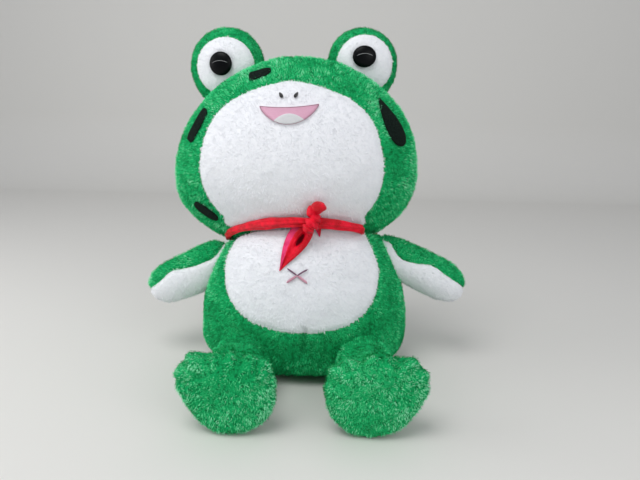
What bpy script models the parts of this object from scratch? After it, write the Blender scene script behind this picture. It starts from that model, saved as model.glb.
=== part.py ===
"""A seated plush frog with a tied neck scarf. Metres, +Z up, front towards -Y, standing on Z = 0."""
import math

import bmesh
import bpy
from mathutils import Euler, Matrix, Vector

# Fabric, seams and running clearances
GAP = 0.0003
SKIN = 0.0022
FELT = 0.0012
OVERRUN = 0.4
FLOOR_FLAT = 0.0005
WINDOW_BACK = -0.0013

# Torso: a pear-shaped bag, widest low down
TORSO_HALF_WIDTH = 0.125
TORSO_HALF_DEPTH = 0.095
TORSO_BELT_Z = 0.050
TORSO_UPPER_HEIGHT = 0.155
TORSO_BASE_POWER_SHARE = 0.5
TORSO_SEGMENTS = 20
TORSO_RINGS = 12

# Neck pivot, about which the head turns and nods
NECK_Z = 0.150
NECK_ASIDE = -0.006
NECK_RADIUS = 0.032
NECK_FACETS = (20, 12)

# Head: a wide oval bag, its chin drawn back under the face
HEAD_HALF_WIDTH = 0.143
HEAD_HALF_DEPTH = 0.087
HEAD_UPPER_HEIGHT = 0.130
HEAD_LOWER_HEIGHT = 0.100
HEAD_RISE = 0.080
HEAD_BACK = 0.005
CHIN_DRAW_SHARE = 0.30
JAW_ROUND_SHARE = 0.82
HEAD_SEGMENTS = 22
HEAD_RINGS = 12
HEAD_ASIDE = -0.004
HEAD_LEAN = math.radians(2.3)
HEAD_YAW = math.radians(3.5)

# How far the head turns and nods, and the room that this takes
HEAD_TURN = math.radians(10)
NOD_BACK = math.radians(8)
NOD_FORWARD = math.radians(2)
TURN_SHARES = (-1.0, -0.75, -0.5, -0.25, 0.0, 0.25, 0.5, 0.75, 1.0)
HEAD_ROOM = 0.0014
HEAD_ROOM_TOP = 0.080
ROOM_FLAT = math.radians(2.5)

# Face panel in the head: heights above the neck pivot, half widths
FACE_TOP = 0.182
FACE_HALF_WIDTH = 0.101
FACE_WIDEST = 0.090
FACE_BOTTOM = 0.004
FACE_UPPER_SHARES = ((0.16, 0.985), (0.40, 0.93), (0.62, 0.815), (0.79, 0.63), (0.915, 0.36), (0.975, 0.15))
FACE_LOWER_SHARES = ((0.22, 0.985), (0.45, 0.92), (0.66, 0.80), (0.85, 0.66))

# Belly panel in the torso: heights above the floor
BELLY_BOTTOM = 0.0650
BELLY_HALF_WIDTH = 0.0885
BELLY_ASIDE = -0.0035
BELLY_WIDEST = 0.128
BELLY_TOP = 0.215
BELLY_LOWER_SHARES = ((0.28, 0.985), (0.52, 0.92), (0.72, 0.80), (0.88, 0.60), (0.97, 0.32))
BELLY_UPPER_SHARES = ((0.16, 0.95), (0.33, 0.87), (0.48, 0.79), (0.70, 0.68), (1.0, 0.52))

# Navel stitches on the belly
NAVEL = (-0.0070, 0.1270)
NAVEL_REACH_X = 0.0112
NAVEL_REACH_Z = 0.0072
NAVEL_THICK = 0.0016

# Eye bumps: flattened balls on the back of the crown
EYE_OUT = 0.0795
EYE_ASIDE = -0.0025
EYE_PROUD = 0.0131
EYE_BACK = 0.0330
EYE_HALF_WIDTHS = {"left": 0.0465, "right": 0.0425}
EYE_HALF_DEPTH = 0.0300
EYE_SPLAY = math.radians(6)
EYE_SEGMENTS = 14
EYE_RINGS = 8
EYE_WINDOW_RADIUS = 0.0345
PUPIL_RADIUS = 0.0132
PUPIL_RISE = 0.0045
PUPIL_OUT = -0.0010
PUPIL_UPS = {"left": 0.0005, "right": 0.0050}
SHANK_RADIUS = 0.0026
SHANK_LENGTH = 0.0130
WASHER_RADIUS = 0.0085
WASHER_THICK = 0.0016
PUPIL_SEGMENTS = 12
DOME_STEPS = 3
EYE_WINDOW_STEPS = 16
WASHER_SEAT = 0.0028
MERGE = 0.00001

# Mouth and nostrils, on the face panel
MOUTH_HALF_WIDTH = 0.0308
MOUTH_Z = 0.1555
MOUTH_DROP = 0.0190
MOUTH_SAG = 0.0022
MOUTH_LINE = 0.0013
MOUTH_STEPS = 12
MOUTH_ROUND_SHARE = 0.75
TONGUE_HALF_WIDTH = 0.0160
TONGUE_RISE = 0.0095
TONGUE_STEPS = 8
NOSTRIL_OUT = 0.0080
NOSTRIL_Z = 0.1660
NOSTRIL_HALF_LENGTH = 0.0032
NOSTRIL_HALF_WIDTH = 0.0017
NOSTRIL_TILT = math.radians(32)

# Felt spots on the green of the head: out, above the neck pivot, half length, half width, tilt, taper
SPOTS = {
    "crown_spot": (-0.0340, 0.1895, 0.0125, 0.0058, 8, -0.3),
    "temple_spot": (-0.1050, 0.1355, 0.0205, 0.0066, 60, -0.2),
    "cheek_spot": (-0.1010, 0.0385, 0.0165, 0.0062, -34, 0.0),
    "brow_spot": (0.1080, 0.1360, 0.0290, 0.0082, -62, 0.45),
}
SPOT_SEGMENTS = 10

# Arms: root ball in the armhole, then a flipper
SHOULDER_OUT = 0.094
SHOULDER_Z = 0.119
SHOULDER_BACK = 0.000
SHOULDER_RADIUS = 0.0215
ARM_REACH = 0.103
ARM_ROOT = 0.000
ARM_RISES = {"left": 0.0052, "right": 0.0125}
ARM_HALF_HEIGHT = 0.0290
ARM_HALF_DEPTH = 0.0235
ARM_DROOP = math.radians(26)
ARM_SEAM_TILT = math.radians(20)
ARM_TIP_POWER_SHARE = 0.75
ARM_SEGMENTS = 12
ARM_RINGS = 8
ARM_SWING = math.radians(22)
ARM_SINK = math.radians(4)

# Legs: root ball in the leg hole, leg tube and paddle foot
HIP_OUT = 0.064
HIP_FRONT = 0.066
HIP_Z = 0.033
HIP_RADIUS = 0.0255
LEG_HALF_WIDTH = 0.0320
LEG_HALF_HEIGHT = 0.0290
FOOT_FRONT = 0.201
FOOT_OUT = 0.071
FOOT_ASIDE = 0.003
FOOT_HALF_WIDTHS = {"left": 0.0490, "right": 0.0510}
FOOT_HALF_DEPTH = 0.0180
FOOT_HEIGHT = 0.084
FOOT_SPLAY_OUT = math.radians(16)
FOOT_SPLAY_IN = math.radians(7)
LEG_ROOT_BACK = 0.024
LEG_ROUND_SHARE = 0.35
LEG_SEGMENTS = 12
LEG_RINGS = 6
FOOT_WIDEST_SHARE = 0.66
FOOT_TOE_ROUND_SHARE = 0.55
FOOT_HEEL_ROUND_SHARE = 0.85
FOOT_HEEL_IN = 0.0060
FOOT_SEGMENTS = 16
FOOT_RINGS = 8
FOOT_CORE_GAP = 0.0013
TOE_NOTCH = 0.0035
TOES = 3
SWING_SHARES = (0.0, 0.5, 1.0)
LIMB_ROOM = 0.0010
LIMB_FACETS = (16, 8)

# Scarf: a crumpled band round the neck seam, a knot and two tails
SCARF_SIDE_OUT = 0.0936
SCARF_FRONT = 0.0630
SCARF_REAR = 0.0800
SCARF_SIDE_Z = 0.1470
SCARF_FRONT_Z = 0.1830
SCARF_REAR_Z = 0.1460
SCARF_HALF_HEIGHT = 0.0060
SCARF_HALF_WIDTH = 0.0060
SCARF_SEGMENTS = 32
SCARF_SIDES = 6
UNIT_RING_SHARE = 2.0
KNOT_ASIDE = 0.0100
KNOT_FORWARD = 0.0110
KNOT_Z = 0.1850
KNOT_HALF = (0.0095, 0.0085, 0.0105)
KNOT_FACETS = (12, 7)
BOW_ASIDE = 0.0020
BOW_FORWARD = -0.0010
BOW_RISE = 0.0160
BOW_HALF = (0.0085, 0.0075, 0.0090)
CLOTH = 0.0018
TAIL_CLEAR = 0.0004
TAIL_ACROSS = 6
TAIL_ALONG = 7
TAIL_FOLDS = 2
TAIL_TOP_SHARE = 0.55
TAIL_SWELL_SHARE = 0.8
TAIL_POINT_POWER = 3.0
TAIL_FLAT_SHARE = 0.6
TAIL_EDGE = 0.0010
LONG_TAIL_TOP = (0.0020, 0.1740)
LONG_TAIL_TIP = (-0.0230, 0.1330)
LONG_TAIL_HALF_WIDTH = 0.0120
LONG_TAIL_FOLD = 0.0040
SHORT_TAIL_TOP = (0.0152, 0.1715)
SHORT_TAIL_TIP = (0.0195, 0.1600)
SHORT_TAIL_HALF_WIDTH = 0.0060
SHORT_TAIL_FOLD = 0.0020

COLOURS = {
    "green": (0.012, 0.36, 0.10),
    "white": (0.80, 0.83, 0.82),
    "filling": (0.85, 0.85, 0.82),
    "black_felt": (0.006, 0.012, 0.009),
    "black_plastic": (0.004, 0.004, 0.004),
    "washer": (0.75, 0.75, 0.72),
    "pink": (0.90, 0.42, 0.60),
    "mauve": (0.36, 0.22, 0.27),
    "dusky_pink": (0.72, 0.20, 0.30),
    "red": (0.80, 0.010, 0.035),
}


def clear_scene():
    for thing in list(bpy.data.objects):
        bpy.data.objects.remove(thing, do_unlink=True)
    for group in list(bpy.data.collections):
        bpy.data.collections.remove(group)


def collection(name):
    group = bpy.data.collections.new(name)
    bpy.context.scene.collection.children.link(group)
    return group


clear_scene()
FROG = collection("plush_frog")
CUTTERS = collection("cutters")


def material(name, roughness=0.9, metallic=0.0):
    if name in bpy.data.materials:
        return bpy.data.materials[name]
    made = bpy.data.materials.new(name)
    made.use_nodes = True
    shader = made.node_tree.nodes["Principled BSDF"]
    shader.inputs["Base Color"].default_value = (*COLOURS[name], 1.0)
    shader.inputs["Roughness"].default_value = roughness
    shader.inputs["Metallic"].default_value = metallic
    return made


def add(name, mesh, colour=None, parent=None, location=(0, 0, 0), rotation=(0, 0, 0), roughness=0.9):
    """A sub-part when it has a colour, otherwise a cutter."""
    thing = bpy.data.objects.new(name, mesh)
    (FROG if colour else CUTTERS).objects.link(thing)
    thing.location = location
    thing.rotation_euler = rotation
    thing.parent = parent
    if colour:
        mesh.materials.append(material(colour, roughness))
        for face in mesh.polygons:
            face.use_smooth = True
    else:
        thing.hide_render = True
        thing.display_type = "WIRE"
    return thing


def empty(name, location, rotation=(0, 0, 0), parent=None):
    thing = bpy.data.objects.new(name, None)
    FROG.objects.link(thing)
    thing.location = location
    thing.rotation_euler = rotation
    thing.parent = parent
    return thing


def boolean(thing, cutter, operation="DIFFERENCE"):
    step = thing.modifiers.new(f"{operation.lower()} {cutter.name}", "BOOLEAN")
    step.operation = operation
    step.object = cutter
    step.solver = "EXACT"


def mesh_from(bm, name):
    bmesh.ops.recalc_face_normals(bm, faces=bm.faces)
    mesh = bpy.data.meshes.new(name)
    bm.to_mesh(mesh)
    bm.free()
    return mesh


def signed_power(value, power):
    return math.copysign(abs(value) ** power, value)


def ball_mesh(name, shape, segments, rings, axis="Z"):
    """A sphere primitive whose unit points are moved by a shape function."""
    bm = bmesh.new()
    bmesh.ops.create_uvsphere(bm, u_segments=segments, v_segments=rings, radius=1.0)
    if axis == "X":
        bmesh.ops.rotate(bm, verts=bm.verts, matrix=Matrix.Rotation(math.radians(90), 3, "Y"))
    if axis == "Y":
        bmesh.ops.rotate(bm, verts=bm.verts, matrix=Matrix.Rotation(math.radians(90), 3, "X"))
    for vert in bm.verts:
        vert.co = shape(vert.co)
    return mesh_from(bm, name)


def oval_mesh(name, half_sizes, segments, rings, axis="Z"):
    """An ellipsoid of the given half sizes."""
    def shape(unit):
        return Vector((unit.x * half_sizes[0], unit.y * half_sizes[1], unit.z * half_sizes[2]))
    return ball_mesh(name, shape, segments, rings, axis)


def prism_mesh(name, outline, start, end):
    """An outline in X and Z, run along Y from start to end."""
    bm = bmesh.new()
    face = bm.faces.new([bm.verts.new((x, start, z)) for x, z in outline])
    run = bmesh.ops.extrude_face_region(bm, geom=[face])
    moved = [part for part in run["geom"] if isinstance(part, bmesh.types.BMVert)]
    bmesh.ops.translate(bm, verts=moved, vec=(0, end - start, 0))
    return mesh_from(bm, name)


def box_mesh(name, low, high):
    """A block between two corners."""
    bm = bmesh.new()
    bmesh.ops.create_cube(bm, size=1.0)
    for vert in bm.verts:
        vert.co = [a if c < 0 else b for a, b, c in zip(low, high, vert.co)]
    return mesh_from(bm, name)


def grown(outline, amount):
    """An outline moved outwards by an amount, along the normals of its points."""
    points = [Vector(point) for point in outline]
    result = []
    for index, point in enumerate(points):
        along = points[(index + 1) % len(points)] - points[index - 1]
        normal = Vector((along.y, -along.x)).normalized()
        result.append(tuple(point + normal * amount))
    return result


def egg_outline(low, widest, high, half_width, lower_shares, upper_shares, pointed):
    """A symmetric outline, counter-clockwise, from shares of its height and half width."""
    right = [(half_width * w, widest - (widest - low) * h) for h, w in reversed(lower_shares)]
    right += [(half_width, widest)]
    right += [(half_width * w, widest + (high - widest) * h) for h, w in upper_shares]
    left = [(-x, z) for x, z in reversed(right)]
    tip = [(0, high)] if pointed == "top" else []
    foot = [(0, low)] if pointed == "bottom" else []
    return foot + right + tip + left


def oval_outline(centre, half_length, half_width, tilt, count, taper=0.0):
    points = []
    for index in range(count):
        turn = math.tau * index / count
        width = half_width * (1 + taper * math.cos(turn))
        along = Vector((half_length * math.cos(turn), width * math.sin(turn)))
        along.rotate(Matrix.Rotation(tilt, 2))
        points.append((centre[0] + along.x, centre[1] + along.y))
    return points


def oval_height_share(share):
    """How full an oval is at a share of its half height."""
    return math.sqrt(max(0.0, 1.0 - share * share))


# Torso
def torso_mesh(name, inset=0.0):
    def shape(unit):
        x, y, z = unit
        if z > 0:
            height = z * (TORSO_UPPER_HEIGHT - inset)
        else:
            around = math.hypot(x, y)
            full = around ** TORSO_BASE_POWER_SHARE / around if around > 0 else 0.0
            x, y = x * full, y * full
            height = signed_power(z, TORSO_BASE_POWER_SHARE) * (TORSO_BELT_Z + FLOOR_FLAT - inset)
        return Vector((x * (TORSO_HALF_WIDTH - inset), y * (TORSO_HALF_DEPTH - inset), TORSO_BELT_Z + height))
    return ball_mesh(name, shape, TORSO_SEGMENTS, TORSO_RINGS)


def torso_front(x, z):
    """Where the torso's front lies, at a height above its belt."""
    across = x / TORSO_HALF_WIDTH
    up = (z - TORSO_BELT_Z) / TORSO_UPPER_HEIGHT
    return -TORSO_HALF_DEPTH * math.sqrt(max(0.0, 1.0 - across * across - up * up))


def belly_outline():
    outline = egg_outline(
        BELLY_BOTTOM, BELLY_WIDEST, BELLY_TOP, BELLY_HALF_WIDTH,
        BELLY_LOWER_SHARES, BELLY_UPPER_SHARES, "bottom",
    )
    return [(x + BELLY_ASIDE, z) for x, z in outline]


def cross_outline(centre, reach_x, reach_z, thick):
    """Two crossing bars as one outline of twelve corners."""
    bar = thick / math.hypot(reach_x, reach_z)
    corners = [(1, 1 - bar), (bar, 0), (1, bar - 1), (1 - bar, -1), (0, -bar), (bar - 1, -1)]
    corners += [(-x, -z) for x, z in corners]
    return [(centre[0] + x * reach_x, centre[1] + z * reach_z) for x, z in reversed(corners)]


def patch(name, colour, outline, base_mesh, parent, skip=None, thick=FELT):
    """A flat piece sewn on a form: a slice of its surface, cut to an outline from the front."""
    thing = add(name, base_mesh(name, -(GAP + thick)), colour, parent)
    under = add(f"{name}_under", base_mesh(f"{name}_under", -GAP), None, parent)
    edge = add(f"{name}_edge", prism_mesh(f"{name}_edge", outline, -OVERRUN, WINDOW_BACK), None, parent)
    boolean(thing, edge, "INTERSECT")
    boolean(thing, under)
    if skip:
        hole = add(f"{name}_hole", prism_mesh(f"{name}_hole", skip, -OVERRUN, WINDOW_BACK), None, parent)
        boolean(thing, hole)
    return thing


# Shared forms that cut their neighbours
NECK = empty("neck_pivot", (NECK_ASIDE, 0, NECK_Z))
HEAD_SEAT = (HEAD_ASIDE, 0, 0), (0, -HEAD_LEAN, -HEAD_YAW)
HEAD = empty("head_seat", *HEAD_SEAT, NECK)


def head_mesh(name, inset=0.0):
    half_width, half_depth = HEAD_HALF_WIDTH - inset, HEAD_HALF_DEPTH - inset

    def shape(unit):
        z = unit.z * ((HEAD_UPPER_HEIGHT if unit.z > 0 else HEAD_LOWER_HEIGHT) - inset)
        drawn = min(z, 0.0) * CHIN_DRAW_SHARE
        around = math.hypot(unit.x, unit.y)
        full = around ** JAW_ROUND_SHARE / around if unit.z < 0 and around > 0 else 1.0
        x, y = unit.x * full, unit.y * full
        return Vector((x * half_width, y * half_depth + HEAD_BACK - drawn, HEAD_RISE + z))
    return ball_mesh(name, shape, HEAD_SEGMENTS, HEAD_RINGS)


def head_crown(x):
    """How high the crown lies above the neck pivot, at a place from side to side."""
    return HEAD_RISE + HEAD_UPPER_HEIGHT * oval_height_share(x / HEAD_HALF_WIDTH)


def swept_hull(name, points, poses, top=OVERRUN):
    """The hull of a form's points below a height, in every pose that a joint allows."""
    bm = bmesh.new()
    for pose in poses:
        for moved in [pose @ point for point in points]:
            if moved.z < top:
                bm.verts.new(moved)
    hull = bmesh.ops.convex_hull(bm, input=bm.verts)
    left_over = hull["geom_interior"] + hull["geom_unused"]
    loose = [part for part in left_over if isinstance(part, bmesh.types.BMVert)]
    bmesh.ops.delete(bm, geom=list(set(loose)), context="VERTS")
    bmesh.ops.dissolve_limit(bm, angle_limit=ROOM_FLAT, verts=bm.verts, edges=bm.edges)
    return mesh_from(bm, name)


def head_room_mesh(name):
    """Room for the head's underside, about the neck pivot."""
    place, lean = HEAD_SEAT
    seat = Matrix.Translation(place) @ Euler(lean).to_matrix().to_4x4()
    head = head_mesh(f"{name}_source", -HEAD_ROOM)
    points = [seat @ vert.co for vert in head.vertices]
    poses = [
        Matrix.Rotation(share * HEAD_TURN, 3, "Z") @ Matrix.Rotation(nod, 3, "X")
        for share in TURN_SHARES for nod in (-NOD_BACK, 0.0, NOD_FORWARD)
    ]
    return swept_hull(name, points, poses, HEAD_ROOM_TOP)


def limb_room_mesh(name, pivot, axis, low, high):
    """Room for the torso beside a limb that swings about its pivot from low to high."""
    torso = torso_mesh(f"{name}_source", -LIMB_ROOM)
    points = [vert.co - pivot for vert in torso.vertices]
    poses = [Matrix.Rotation(low + share * (high - low), 3, axis) for share in SWING_SHARES]
    return swept_hull(name, points, poses)


def ball(name, centre, radius, facets, axis="Z", parent=None, colour=None):
    mesh = oval_mesh(name, (radius, radius, radius), *facets, axis)
    return add(name, mesh, colour, parent, centre)


def socket(name, centre, radius, facets, axis="Z", parent=None):
    """A cutter whose facets clear a ball of the same facets that turns in it about its axis."""
    segments, rings = facets
    facet_share = math.cos(math.pi / segments)
    return ball(name, centre, (radius + GAP) / facet_share, facets, axis, parent)


head_form_gap = add("head_form_gap", head_mesh("head_form_gap", -GAP), None, HEAD)
head_room = add("head_room", head_room_mesh("head_room"), None, NECK)
torso_form_gap = add("torso_form_gap", torso_mesh("torso_form_gap", -GAP))
ring_share = math.cos(math.pi / NECK_FACETS[1] / 2)
neck_socket = socket("neck_socket", (0, 0, 0), NECK_RADIUS / ring_share, NECK_FACETS, "Z", NECK)
floor = add("floor", box_mesh("floor", (-OVERRUN, -OVERRUN, -OVERRUN), (OVERRUN, OVERRUN, 0)))
SIDES = {"left": -1, "right": 1}
SHOULDERS = {side: Vector((way * SHOULDER_OUT, SHOULDER_BACK, SHOULDER_Z)) for side, way in SIDES.items()}
HIPS = {side: Vector((way * HIP_OUT, -HIP_FRONT, HIP_Z)) for side, way in SIDES.items()}
shoulder_sockets = {
    side: socket(f"shoulder_socket_{side}", place, SHOULDER_RADIUS, LIMB_FACETS, "Y")
    for side, place in SHOULDERS.items()
}
hip_sockets = {
    side: socket(f"hip_socket_{side}", place, HIP_RADIUS, LIMB_FACETS)
    for side, place in HIPS.items()
}
LIMB_SOCKETS = [*shoulder_sockets.values(), *hip_sockets.values()]


def build_neck():
    ball("neck_stuffing", (0, 0, 0), NECK_RADIUS, NECK_FACETS, "Z", NECK, "filling")


def build_torso():
    inner = add("torso_inner", torso_mesh("torso_inner", SKIN))
    window = add("belly_window", prism_mesh("belly_window", belly_outline(), -OVERRUN, WINDOW_BACK))
    inside = grown(belly_outline(), -GAP)
    panel_edge = add("belly_panel_edge", prism_mesh("belly_panel_edge", inside, -OVERRUN, WINDOW_BACK))
    skin = add("torso_skin", torso_mesh("torso_skin"), "green")
    panel = add("belly_panel", torso_mesh("belly_panel"), "white")
    stuffing = add("torso_stuffing", torso_mesh("torso_stuffing", SKIN + GAP), "filling")
    boolean(skin, inner)
    boolean(skin, window)
    boolean(panel, panel_edge, "INTERSECT")
    boolean(panel, inner)
    boolean(skin, floor)
    for piece in (skin, panel, stuffing):
        boolean(piece, head_room)
        boolean(piece, neck_socket)
    for piece in (skin, stuffing):
        for limb_socket in LIMB_SOCKETS:
            boolean(piece, limb_socket)
    cross = cross_outline(NAVEL, NAVEL_REACH_X, NAVEL_REACH_Z, NAVEL_THICK)
    patch("navel_cross", "dusky_pink", cross, torso_mesh, None)


def face_outline():
    return egg_outline(
        FACE_BOTTOM, FACE_WIDEST, FACE_TOP, FACE_HALF_WIDTH,
        FACE_LOWER_SHARES, FACE_UPPER_SHARES, "top",
    )


def lower_lip(x):
    share = x / MOUTH_HALF_WIDTH
    return MOUTH_Z - MOUTH_DROP * (1 - share * share) ** MOUTH_ROUND_SHARE


def mouth_outline():
    """Two corners joined by a flat upper lip and a round lower lip."""
    upper, lower = [], []
    for step in range(1, MOUTH_STEPS):
        across = math.cos(math.pi * step / MOUTH_STEPS)
        bulge = 1 - across * across
        upper.append((MOUTH_HALF_WIDTH * across, MOUTH_Z - MOUTH_SAG * bulge))
        lower.append((-MOUTH_HALF_WIDTH * across, lower_lip(MOUTH_HALF_WIDTH * across)))
    corners = (-MOUTH_HALF_WIDTH, MOUTH_Z), (MOUTH_HALF_WIDTH, MOUTH_Z)
    return [corners[0], *lower, corners[1], *upper]


def tongue_outline():
    """A lens that sits on the lower lip."""
    across = [TONGUE_HALF_WIDTH * math.cos(math.pi * step / TONGUE_STEPS) for step in range(TONGUE_STEPS + 1)]
    low = [(-x, lower_lip(x)) for x in across]
    high = [(x, lower_lip(x) + TONGUE_RISE * oval_height_share(x / TONGUE_HALF_WIDTH)) for x in across[1:-1]]
    return low + high


def build_head():
    inner = add("head_inner", head_mesh("head_inner", SKIN), None, HEAD)
    window = add("face_window", prism_mesh("face_window", face_outline(), -OVERRUN, WINDOW_BACK), None, HEAD)
    inside = grown(face_outline(), -GAP)
    panel_edge = add("face_panel_edge", prism_mesh("face_panel_edge", inside, -OVERRUN, WINDOW_BACK), None, HEAD)
    skin = add("head_skin", head_mesh("head_skin"), "green", HEAD)
    panel = add("face_panel", head_mesh("face_panel"), "white", HEAD)
    stuffing = add("head_stuffing", head_mesh("head_stuffing", SKIN + GAP), "filling", HEAD)
    boolean(skin, inner)
    boolean(skin, window)
    boolean(panel, panel_edge, "INTERSECT")
    boolean(panel, inner)
    for piece in (skin, panel, stuffing):
        boolean(piece, neck_socket)


def build_face():
    mouth = mouth_outline()
    tongue = tongue_outline()
    patch("mouth_patch", "pink", mouth, head_mesh, HEAD, grown(tongue, GAP))
    patch("tongue_patch", "white", tongue, head_mesh, HEAD)
    patch("mouth_line", "mauve", grown(mouth, GAP + MOUTH_LINE), head_mesh, HEAD, grown(mouth, GAP))
    for side, way in SIDES.items():
        tilt = math.radians(90) - way * NOSTRIL_TILT
        outline = oval_outline(
            (way * NOSTRIL_OUT, NOSTRIL_Z), NOSTRIL_HALF_LENGTH, NOSTRIL_HALF_WIDTH, tilt, SPOT_SEGMENTS)
        patch(f"nostril_{side}", "black_felt", outline, head_mesh, HEAD)
    for name, (out, up, half_length, half_width, tilt, taper) in SPOTS.items():
        outline = oval_outline((out, up), half_length, half_width, math.radians(tilt), SPOT_SEGMENTS, taper)
        patch(name, "black_felt", outline, head_mesh, HEAD)


def eye_mesh(name, side, inset=0.0):
    half = (EYE_HALF_WIDTHS[side] - inset, EYE_HALF_DEPTH - inset, EYE_HALF_WIDTHS[side] - inset)
    return oval_mesh(name, half, EYE_SEGMENTS, EYE_RINGS, "Y")


def turned(name, profile, colour, parent, location, roughness):
    """A closed profile of radius and height, turned about its own axis, which points to the front."""
    mesh = bpy.data.meshes.new(name)
    edges = [(index, index + 1) for index in range(len(profile) - 1)]
    mesh.from_pydata([(radius, 0, height) for radius, height in profile], edges, [])
    thing = add(name, mesh, colour, parent, location, (math.radians(90), 0, 0), roughness)
    screw = thing.modifiers.new("turn", "SCREW")
    screw.steps = screw.render_steps = PUPIL_SEGMENTS
    screw.use_merge_vertices = True
    screw.merge_threshold = MERGE
    return thing


def build_eye(side, way):
    eye_place = (EYE_ASIDE + way * EYE_OUT, EYE_BACK, head_crown(EYE_OUT) + EYE_PROUD)
    eye = empty(f"eye_seat_{side}", eye_place, (0, 0, way * EYE_SPLAY), HEAD)
    inner = add(f"eye_inner_{side}", eye_mesh(f"eye_inner_{side}", side, SKIN), None, eye)
    ring = oval_outline((0, 0), EYE_WINDOW_RADIUS, EYE_WINDOW_RADIUS, 0, EYE_WINDOW_STEPS)
    window = add(f"eye_window_{side}", prism_mesh(f"eye_window_{side}", ring, -OVERRUN, WINDOW_BACK), None, eye)
    edge_mesh = prism_mesh(f"eye_front_edge_{side}", grown(ring, -GAP), -OVERRUN, WINDOW_BACK)
    edge = add(f"eye_front_edge_{side}", edge_mesh, None, eye)
    back = add(f"eye_back_{side}", eye_mesh(f"eye_back_{side}", side), "green", eye)
    front = add(f"eye_front_{side}", eye_mesh(f"eye_front_{side}", side), "white", eye)
    stuffing = add(f"eye_stuffing_{side}", eye_mesh(f"eye_stuffing_{side}", side, SKIN + GAP), "filling", eye)
    place = (way * PUPIL_OUT, PUPIL_UPS[side])
    hole_ring = oval_outline(place, SHANK_RADIUS + GAP, SHANK_RADIUS + GAP, 0, PUPIL_SEGMENTS)
    hole = add(f"eye_hole_{side}", prism_mesh(f"eye_hole_{side}", hole_ring, -OVERRUN, WINDOW_BACK), None, eye)
    base = -EYE_HALF_DEPTH - GAP
    pocket_ring = oval_outline(place, WASHER_RADIUS + GAP, WASHER_RADIUS + GAP, 0, PUPIL_SEGMENTS)
    pocket_mesh = prism_mesh(f"eye_pocket_{side}", pocket_ring, -OVERRUN, base + SHANK_LENGTH + WASHER_THICK)
    pocket = add(f"eye_pocket_{side}", pocket_mesh, None, eye)
    boolean(back, inner)
    boolean(back, window)
    boolean(front, edge, "INTERSECT")
    boolean(front, inner)
    boolean(front, hole)
    boolean(stuffing, pocket)
    for piece in (back, front, stuffing):
        boolean(piece, head_form_gap)
    slopes = [math.pi / 2 * step / DOME_STEPS for step in range(DOME_STEPS + 1)]
    dome = [(PUPIL_RADIUS * math.sin(slope), PUPIL_RISE * math.cos(slope)) for slope in slopes]
    shank = [(SHANK_RADIUS, 0), (SHANK_RADIUS, -SHANK_LENGTH), (0, -SHANK_LENGTH)]
    turned(f"pupil_{side}", dome + shank, "black_plastic", eye, (place[0], base, place[1]), 0.15)
    bore = SHANK_RADIUS + GAP
    ring_profile = [(bore, WASHER_THICK), (WASHER_RADIUS, WASHER_THICK), (WASHER_RADIUS, 0), (bore, 0)]
    ring_profile.append(ring_profile[0])
    seat = -EYE_HALF_DEPTH + SKIN + WASHER_SEAT + WASHER_THICK
    turned(f"eye_washer_{side}", ring_profile, "washer", eye, (place[0], seat, place[1]), 0.5)


def arm_mesh(name, side, way, inset=0.0):
    middle = (ARM_ROOT + ARM_REACH) / 2
    half_length = (ARM_REACH - ARM_ROOT) / 2 - inset

    def shape(unit):
        around = math.hypot(unit.y, unit.z)
        full = around ** ARM_TIP_POWER_SHARE / around if around > 0 else 0.0
        along = signed_power(unit.x, ARM_TIP_POWER_SHARE)
        return Vector((
            way * (middle + along * half_length),
            unit.y * full * (ARM_HALF_DEPTH - inset),
            ARM_RISES[side] + unit.z * full * (ARM_HALF_HEIGHT - inset),
        ))
    return ball_mesh(name, shape, ARM_SEGMENTS, ARM_RINGS, "X")


def build_arm(side, way):
    shoulder = empty(f"shoulder_{side}", SHOULDERS[side])
    arm = empty(f"arm_seat_{side}", (0, 0, 0), (0, way * ARM_DROOP, 0), shoulder)
    inner = add(f"arm_inner_{side}", arm_mesh(f"arm_inner_{side}", side, way, SKIN), None, arm)
    seam, lean = (0, 0, ARM_RISES[side]), (-ARM_SEAM_TILT, 0, 0)
    above = add(f"arm_above_{side}", box_mesh(f"arm_above_{side}", (-OVERRUN, -OVERRUN, -GAP), (OVERRUN,) * 3),
                None, arm, seam, lean)
    below = add(f"arm_below_{side}", box_mesh(f"arm_below_{side}", (-OVERRUN,) * 3, (OVERRUN, OVERRUN, 0)),
                None, arm, seam, lean)
    back = add(f"arm_back_{side}", arm_mesh(f"arm_back_{side}", side, way), "green", arm)
    front = add(f"arm_front_{side}", arm_mesh(f"arm_front_{side}", side, way), "white", arm)
    stuffing = add(f"arm_stuffing_{side}", arm_mesh(f"arm_stuffing_{side}", side, way, SKIN + GAP), "filling", arm)
    for piece in (back, front):
        boolean(piece, inner)
    boolean(back, below)
    boolean(front, above)
    room_mesh = limb_room_mesh(f"arm_room_{side}", SHOULDERS[side], "Y", -way * ARM_SINK, way * ARM_SWING)
    room = add(f"arm_room_{side}", room_mesh, None, shoulder)
    for piece in (back, front, stuffing):
        boolean(piece, room)
    root = ball(f"arm_root_{side}", (0, 0, 0), SHOULDER_RADIUS, LIMB_FACETS, "Y", arm)
    boolean(stuffing, root, "UNION")
    raised = empty(f"arm_raised_{side}", SHOULDERS[side], (0, way * ARM_SWING, 0))
    to_neck = Vector((NECK_ASIDE, 0, NECK_Z)) - SHOULDERS[side]
    head_room_raised = add(f"head_room_raised_{side}", head_room.data, None, raised, to_neck)
    for piece in (back, front, stuffing):
        boolean(piece, head_room)
        boolean(piece, head_room_raised)
    for piece in (back, front):
        boolean(piece, shoulder_sockets[side])


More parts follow.
